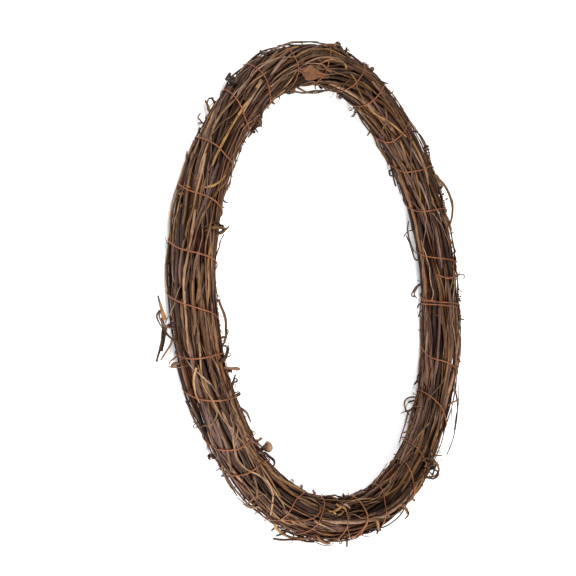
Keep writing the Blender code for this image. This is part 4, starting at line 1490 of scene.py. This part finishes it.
def leaf_material():
    """Blotched rusty leaf with darker veins."""
    material, tree, shader = new_material("dry_leaf_finish")
    place = add_node(tree, "ShaderNodeTexCoord").outputs["Object"]
    blotches = noise_on(tree, place, (160, 160, 160), 4)
    veins = noise_on(tree, place, (1400, 500, 900), 3)
    colour = mixed(tree, spread(tree, blotches, 0.35, 0.65), LEAF_DARK, LEAF_LIGHT)
    colour = mixed(tree, spread(tree, veins, 0.5, 0.72, 0.0, 0.6), colour, LEAF_VEINS)
    bump = add_node(tree, "ShaderNodeBump", [("Height", veins), ("Distance", 0.0003), ("Strength", 0.7)])
    tree.links.new(colour, shader.inputs["Base Color"])
    tree.links.new(bump.outputs["Normal"], shader.inputs["Normal"])
    shader.inputs["Roughness"].default_value = 0.7
    return material


def vine_stem(vine, splits, swelling, wiggle):
    """A part's vine as a smooth knobbly stem."""
    rng = random.Random(f"{vine.name} stem")
    angle = smooth(vine.angles, splits)
    place = smooth(vine.place, splits)
    distance = (angle - angle[0]) * RING_RADIUS
    for column in range(2):
        place[:, column] += wiggle * soft_noise(rng, distance, 0.022)
    path = world(angle, place[:, 0], place[:, 1])
    radii = knobbly(rng, distance, vine.radius, swelling)
    radii *= taper(np.minimum(distance, distance[-1] - distance), 0.7, 0.02)
    tone = min(rng.gauss(0.03, 0.21), 0.14) + 0.1 * soft_noise(rng, distance, 0.06)
    return Stem(path, radii, tone, math.tau * distance / VINE_RIDGE_TURN)


def vine_piece(vine, sides, splits, swelling, wiggle):
    """One vine with its side shoots and foot, in place of its node."""
    stems = [vine_stem(vine, splits, swelling, wiggle)]
    rng = random.Random(f"{vine.name} shoots")
    for path, radius, burl in vine.shoots:
        path = smooth(path, 6)
        distance = along_path(path)
        left = distance[-1] - distance
        radii = knobbly(rng, distance, radius, 0.35)
        radii *= 1.05 - 0.4 * (distance / distance[-1]) ** 1.3
        radii += burl * radius * hump(left, BURL_PLACE, BURL_WIDTH)
        tone = rng.gauss(0.0, 0.08) + BURL_TONE * burl * hump(left, 0, CUT_WIDTH)
        stems.append(Stem(path, radii, tone, STEM_TWIST * distance))
    for ring in FEET:
        holder, path = foot_path(settled_vines(), math.radians(ring))
        if holder is vine:
            stems.append(Stem(smooth(path, 2), FOOT_RADIUS, 0.0))
    return sweep(f"{vine.name}_stem", stems, profile(sides, RIDGES, 1.0))


class BarkLook(bpy.types.PropertyGroup):
    dark: bpy.props.FloatVectorProperty(
        name="Dark streaks", description="Colour in the bark's furrows", subtype="COLOR",
        default=(0.03, 0.02, 0.015), min=0, max=1)
    light: bpy.props.FloatVectorProperty(
        name="Light streaks", description="Colour on the bark's ridges", subtype="COLOR",
        default=(0.2, 0.12, 0.07), min=0, max=1)
    peeled: bpy.props.FloatVectorProperty(
        name="Peeled wood", description="Colour where bark has come off", subtype="COLOR",
        default=(0.4, 0.25, 0.12), min=0, max=1)
    peeling: bpy.props.FloatProperty(
        name="Peeling", description="Share of the bark that has come off", subtype="FACTOR",
        default=0.3, min=0, max=1)


class WreathBark(bpy.types.PropertyGroup):
    dark_bark: bpy.props.PointerProperty(type=BarkLook, name="Dark bark", description="Grey-brown vines")
    brown_bark: bpy.props.PointerProperty(type=BarkLook, name="Brown bark", description="Mid-brown vines")
    tan_bark: bpy.props.PointerProperty(type=BarkLook, name="Tan bark", description="Peeled golden vines")


class WreathVines(bpy.types.PropertyGroup):
    thin_vines: bpy.props.IntProperty(
        name="Thin vines", description="Thin vines laid along the bundle", default=56, min=0, max=160)
    twigs: bpy.props.IntProperty(
        name="Twigs", description="Short twigs laid across the bundle", default=14, min=0, max=140)
    bows: bpy.props.IntProperty(
        name="Bows", description="Stems on the edges that bow out between the turns of wire", default=26,
        min=0, max=200)
    strings: bpy.props.IntProperty(
        name="Strings", description="Thin tendrils that wander over the bundle", default=96, min=0, max=300)
    lumps: bpy.props.FloatProperty(
        name="Lumps", description="Height of the lumps in the bark", default=0.00032, min=0, max=0.002,
        unit="LENGTH", precision=5)
    wiggle: bpy.props.FloatProperty(
        name="Crookedness", description="How far a vine strays from its smooth way", default=0.0003,
        min=0, max=0.002, unit="LENGTH", precision=5)


class WreathTendrils(bpy.types.PropertyGroup):
    curls: bpy.props.IntProperty(
        name="Curls", description="Coiled tendrils", default=60, min=0, max=200)
    stubs: bpy.props.IntProperty(
        name="Stubs", description="Short pruned shoots", default=90, min=0, max=200)
    wisps: bpy.props.IntProperty(
        name="Wisps", description="Crooked thin twigs that stand off", default=150, min=0, max=200)
    strips: bpy.props.IntProperty(
        name="Strips", description="Shreds of torn bark", default=70, min=0, max=200)


class WreathWire(bpy.types.PropertyGroup):
    bright: bpy.props.FloatVectorProperty(
        name="Bright copper", description="Colour of the clean wire", subtype="COLOR",
        default=(0.235, 0.074, 0.023), min=0, max=1)
    tarnished: bpy.props.FloatVectorProperty(
        name="Tarnish", description="Colour of the dull wire", subtype="COLOR",
        default=(0.112, 0.034, 0.012), min=0, max=1)


class WreathStage(bpy.types.PropertyGroup):
    floor: bpy.props.FloatVectorProperty(
        name="Floor", description="Colour of the floor", subtype="COLOR",
        default=(0.88, 0.88, 0.88), min=0, max=1)
    sky: bpy.props.FloatProperty(
        name="Fill", description="Strength of the even light from all round", default=0.4, min=0, max=5)
    key: bpy.props.FloatProperty(
        name="Key", description="Power of the large soft light", default=50, min=0, max=500, unit="POWER")


class WREATH_OT_core_vines(bpy.types.Operator):
    """Make the vines in the middle of the bundle"""
    bl_idname = "wreath.core_vines"
    bl_label = "Core vines"

    def execute(self, context):
        for vine in settled_vines():
            if vine.name.startswith(("core", "inner")):
                item = vine_piece(vine, *HIDDEN_VINE, context.scene.wreath_vines.wiggle)
                place_piece(item, vine.bark, bark_material(vine.bark), vine.name)
        return {"FINISHED"}


class WREATH_OT_outer_vines(bpy.types.Operator):
    """Make the vines that show, with their shoots"""
    bl_idname = "wreath.outer_vines"
    bl_label = "Outer vines"

    def execute(self, context):
        looks = context.scene.wreath_vines
        for vine in settled_vines():
            if vine.name.startswith(("outer", "crossing")):
                item = vine_piece(vine, *PLAIN_VINE, looks.wiggle)
                roughen(item, LUMP_SIZE, looks.lumps)
                place_piece(item, vine.bark, bark_material(vine.bark), vine.name)
        return {"FINISHED"}


class WREATH_OT_thin_vines(bpy.types.Operator):
    """Lay thin vines and twigs over the bundle"""
    bl_idname = "wreath.thin_vines"
    bl_label = "Thin vines"

    def execute(self, context):
        looks = context.scene.wreath_vines
        bundle, stems = wound_bundle()
        rng = random.Random(57)
        for bark, radius, paleness, stand_off, pixels in PLAIN_TWIGS:
            points = points_seen(pixels, stand_off)
            tone = round(paleness * TONE_SPAN - TONE_DROP, 2)
            stems[bark].append(stem_through(bundle, points, radius * MM, tone, rng))
        for bark in BARKS:
            item = sweep(f"thin_vines_{bark}", stems[bark], profile(THIN_SIDES, RIDGES, 1.0))
            roughen(item, THIN_LUMP_SIZE, THIN_LUMP_SHARE * looks.lumps)
            place_piece(item, bark, bark_material(bark))
        return {"FINISHED"}


class WREATH_OT_tendrils(bpy.types.Operator):
    """Grow curls, pruned stubs, crooked wisps and shreds of bark on the bundle"""
    bl_idname = "wreath.tendrils"
    bl_label = "Tendrils"

    def execute(self, context):
        looks = context.scene.wreath_tendrils
        bundle, _ = wound_bundle()
        rng = random.Random(83)
        # Name, how many, maker, radii and sizes in mm, mean tone, and thickness as a share of the width
        kinds = (
            ("curls", looks.curls, curl, (0.24, 0.4), (1.0, 2.2), 0.0, 1.0),
            ("stubs", looks.stubs, stub, (0.4, 0.95), (1.6, 4.0), -0.03, 1.0),
            ("wisps", looks.wisps, wisp, (0.26, 0.48), (4.0, 15.0), 0.0, 1.0),
            ("strips", looks.strips, strip, (0.4, 0.9), (4.0, 11.0), 0.05, 0.22),
        )
        for name, count, make, radius_range, size_range, tone, flat in kinds:
            stems = growth(rng, bundle, count, make, radius_range, size_range, tone)
            if make is curl:
                grow_plain_curls(rng, bundle, stems)
            if make is strip:
                for bark, half_width, strip_tone, points in PLAIN_STRIPS:
                    stems[bark].append(stem_through(bundle, points, half_width * MM, strip_tone, rng))
            for bark in BARKS:
                if stems[bark]:
                    item = sweep(f"{name}_{bark}", stems[bark], profile(SMALL_SIDES, 0.04, flat))
                    place_piece(item, bark, bark_material(bark))
        return {"FINISHED"}


def wire_stray(bundle, points):
    """A short run of wire through given places."""
    turn = smooth(np.radians(points), 6)
    out = np.array([bundle.hull(at / FINE_ANGLE, around) for at, around in turn]) + 3 * WIRE_RADIUS
    part = np.linspace(-1, 1, len(out))
    out = out - 4 * WIRE_RADIUS * part ** 8
    return on_bundle(turn[:, 0], turn[:, 1], out)


def wire_path(bundle):
    """A taut wire that rests on the outermost stems."""
    step = math.tau / WIRE_STEPS
    whole = math.radians(360 * (len(WIRE_TURNS) - 1) + WIRE_END - WIRE_START)
    around = math.radians(WIRE_START) + (np.arange(int(whole / step)) + 0.5) * step
    angle = eased(wire_angles(around / (math.tau) - 0.25), 6)
    out = np.array([bundle.hull(at / FINE_ANGLE, turn) for turn, at in zip(around, angle)])
    out = eased(out, 3) + WIRE_GAP + WIRE_RADIUS
    return smooth(on_bundle(angle, around, out), 2)


class WREATH_OT_binding_wire(bpy.types.Operator):
    """Wind the wire round the bundle"""
    bl_idname = "wreath.binding_wire"
    bl_label = "Binding wire"

    def execute(self, context):
        bundle, _ = wound_bundle()
        runs = [wire_path(bundle)] + [wire_stray(bundle, points) for points in WIRE_STRAYS]
        wires = [Stem(path, WIRE_RADIUS, 0.0) for path in runs]
        item = sweep("binding_wire_round", wires, profile(WIRE_SIDES, 0.0, 1.0))
        place_piece(item, "copper_wire", wire_material(), "binding_wire")
        return {"FINISHED"}


# The leaf scrap's outline: shares along it, then the two edges as angles round the bundle
LEAF_RING = (107.8, 92.8)
LEAF_EDGES = (
    (0.0, 96.5, 99), (0.05, 96.2, 103), (0.15, 95.8, 116), (0.28, 94.6, 128), (0.38, 94.8, 134),
    (0.46, 100, 137.5), (0.56, 108, 137), (0.67, 115, 134), (0.79, 120, 131), (0.92, 124.5, 130),
    (1.0, 127.5, 129.5),
)
LEAF_LIFT = 0.0011
LEAF_THICKNESS = 0.0004
EDGE_CURL = 0.0016
TIP_CURL = 0.0018
LEAF_WAVE = 0.0005
MIDRIB = 0.0006


def bent_sheet(name, rows, columns, place, thickness):
    """A thin sheet whose points are placed by their shares along and across it."""
    unpick()
    bpy.ops.mesh.primitive_grid_add(x_subdivisions=rows, y_subdivisions=columns, size=2, location=(0, 0, 0))
    item = bpy.context.object
    item.name = name
    item.data.name = name
    for vertex in item.data.vertices:
        vertex.co = place((vertex.co.x + 1) / 2, (vertex.co.y + 1) / 2)
    bpy.ops.object.modifier_add(type="SOLIDIFY")
    item.modifiers[-1].thickness = thickness
    item.modifiers[-1].offset = 0
    bpy.ops.object.modifier_apply(modifier=item.modifiers[-1].name)
    return item


class WREATH_OT_dry_leaf(bpy.types.Operator):
    """Bend a scrap of dry leaf over the vines"""
    bl_idname = "wreath.dry_leaf"
    bl_label = "Dry leaf"

    def execute(self, context):
        bundle, _ = wound_bundle()
        outline = np.array(LEAF_EDGES)

        def on_face(along, across):
            low = np.interp(along, outline[:, 0], outline[:, 1])
            high = np.interp(along, outline[:, 0], outline[:, 2])
            ragged = 0.05 * math.sin(23 * along) + 0.03 * math.sin(47 * along + 1)
            share = across + (across - 0.5) * ragged
            around = math.radians(low + (high - low) * share)
            first, last = LEAF_RING
            angle = math.radians(first + (last - first) * (along + 0.02 * math.sin(9 * across)))
            # Edges and tip curl up, the sheet is wavy and its midrib is pressed in
            lift = LEAF_LIFT + EDGE_CURL * (across - 0.5) ** 2 * 4 + TIP_CURL * max(0, along - 0.75) * 4
            wave = LEAF_WAVE * math.sin(7 * along) * math.cos(5 * across)
            lift += wave - MIDRIB * math.exp(-((across - 0.5) / 0.06) ** 2)
            return on_bundle(angle, around, bundle.hull(angle / FINE_ANGLE, around) + lift)

        item = bent_sheet("dry_leaf_scrap", 36, 18, on_face, LEAF_THICKNESS)
        mend(item, 0.000001)
        place_piece(item, "dry_leaf", leaf_material(), "dry_leaf")
        return {"FINISHED"}


class WREATH_OT_stage(bpy.types.Operator):
    """Set the floor, the lights and the camera"""
    bl_idname = "wreath.stage"
    bl_label = "Stage"

    def execute(self, context):
        looks = context.scene.wreath_stage
        unpick()
        bpy.ops.mesh.primitive_plane_add(size=FLOOR_SIZE, location=(0, 0, 0))
        floor = context.object
        floor.name = "floor"
        paint, _, shader = new_material("floor_paint")
        shader.inputs["Base Color"].default_value = (*looks.floor, 1)
        shader.inputs["Roughness"].default_value = 0.9
        shader.inputs["Emission Color"].default_value = (1, 1, 1, 1)
        shader.inputs["Emission Strength"].default_value = FLOOR_GLOW
        floor.data.materials.append(paint)

        sky = bpy.data.worlds.new("studio")
        sky.use_nodes = True
        sky.node_tree.nodes["Background"].inputs["Color"].default_value = (1, 1, 1, 1)
        sky.node_tree.nodes["Background"].inputs["Strength"].default_value = looks.sky
        context.scene.world = sky
        for name, (place, size, share) in LIGHTS.items():
            bpy.ops.object.light_add(type="AREA", location=place)
            light = context.object
            light.name = name
            light.data.size = size
            light.data.energy = looks.key * share
            aim = Vector(LIT_PLACE) - Vector(place)
            light.rotation_euler = aim.to_track_quat("-Z", "Y").to_euler()

        eye, level, upright, ahead = camera_axes()
        bpy.ops.object.camera_add()
        camera = context.object
        camera.name = "camera"
        camera.data.lens = LENS_MM
        camera.data.sensor_width = SENSOR_MM
        turn = Matrix((level, upright, -ahead)).transposed().to_4x4()
        camera.matrix_world = Matrix.Translation(eye) @ turn
        context.scene.camera = camera
        context.scene.view_settings.view_transform = "Standard"
        return {"FINISHED"}


class WREATH_PT_panel(bpy.types.Panel):
    bl_label = "Rattan wreath"
    bl_idname = "WREATH_PT_panel"
    bl_space_type = "VIEW_3D"
    bl_region_type = "UI"
    bl_category = "Wreath"

    def draw(self, context):
        scene = context.scene
        for looks in (scene.wreath_vines, scene.wreath_tendrils, scene.wreath_wire, scene.wreath_stage):
            for name in looks.__annotations__:
                self.layout.prop(looks, name)
        for bark in BARKS:
            looks = getattr(scene.wreath_bark, bark)
            for name in looks.__annotations__:
                self.layout.prop(looks, name)
        for operator in OPERATORS:
            self.layout.operator(operator.bl_idname)


OPERATORS = (
    WREATH_OT_core_vines, WREATH_OT_outer_vines, WREATH_OT_thin_vines, WREATH_OT_tendrils,
    WREATH_OT_binding_wire, WREATH_OT_dry_leaf, WREATH_OT_stage,
)
GROUPS = (BarkLook, WreathBark, WreathVines, WreathTendrils, WreathWire, WreathStage)
SETTINGS = {
    "wreath_bark": WreathBark, "wreath_vines": WreathVines, "wreath_tendrils": WreathTendrils,
    "wreath_wire": WreathWire, "wreath_stage": WreathStage,
}
BARK_COLOURS = {
    "dark_bark": ((0.023, 0.0096, 0.005), (0.112, 0.061, 0.044), (0.145, 0.084, 0.060), 0.2),
    "brown_bark": ((0.037, 0.0155, 0.008), (0.163, 0.090, 0.061), (0.21, 0.122, 0.081), 0.3),
    "tan_bark": ((0.060, 0.027, 0.014), (0.218, 0.130, 0.085), (0.285, 0.178, 0.116), 0.4),
}


def register():
    for item in GROUPS + OPERATORS + (WREATH_PT_panel,):
        bpy.utils.register_class(item)
    for name, kind in SETTINGS.items():
        setattr(bpy.types.Scene, name, bpy.props.PointerProperty(type=kind))


def unregister():
    for name in SETTINGS:
        delattr(bpy.types.Scene, name)
    for item in reversed(GROUPS + OPERATORS + (WREATH_PT_panel,)):
        bpy.utils.unregister_class(item)


def main():
    register()
    for bark, (dark, light, peeled, peeling) in BARK_COLOURS.items():
        looks = getattr(bpy.context.scene.wreath_bark, bark)
        looks.dark, looks.light, looks.peeled, looks.peeling = dark, light, peeled, peeling
    bpy.ops.wreath.core_vines()
    bpy.ops.wreath.outer_vines()
    bpy.ops.wreath.thin_vines()
    bpy.ops.wreath.tendrils()
    bpy.ops.wreath.binding_wire()
    bpy.ops.wreath.dry_leaf()
    bpy.ops.wreath.stage()
    for item in [item for item in bpy.data.objects if item.name.startswith("section_")]:
        bpy.data.objects.remove(item)


if __name__ == "__main__":
    main()
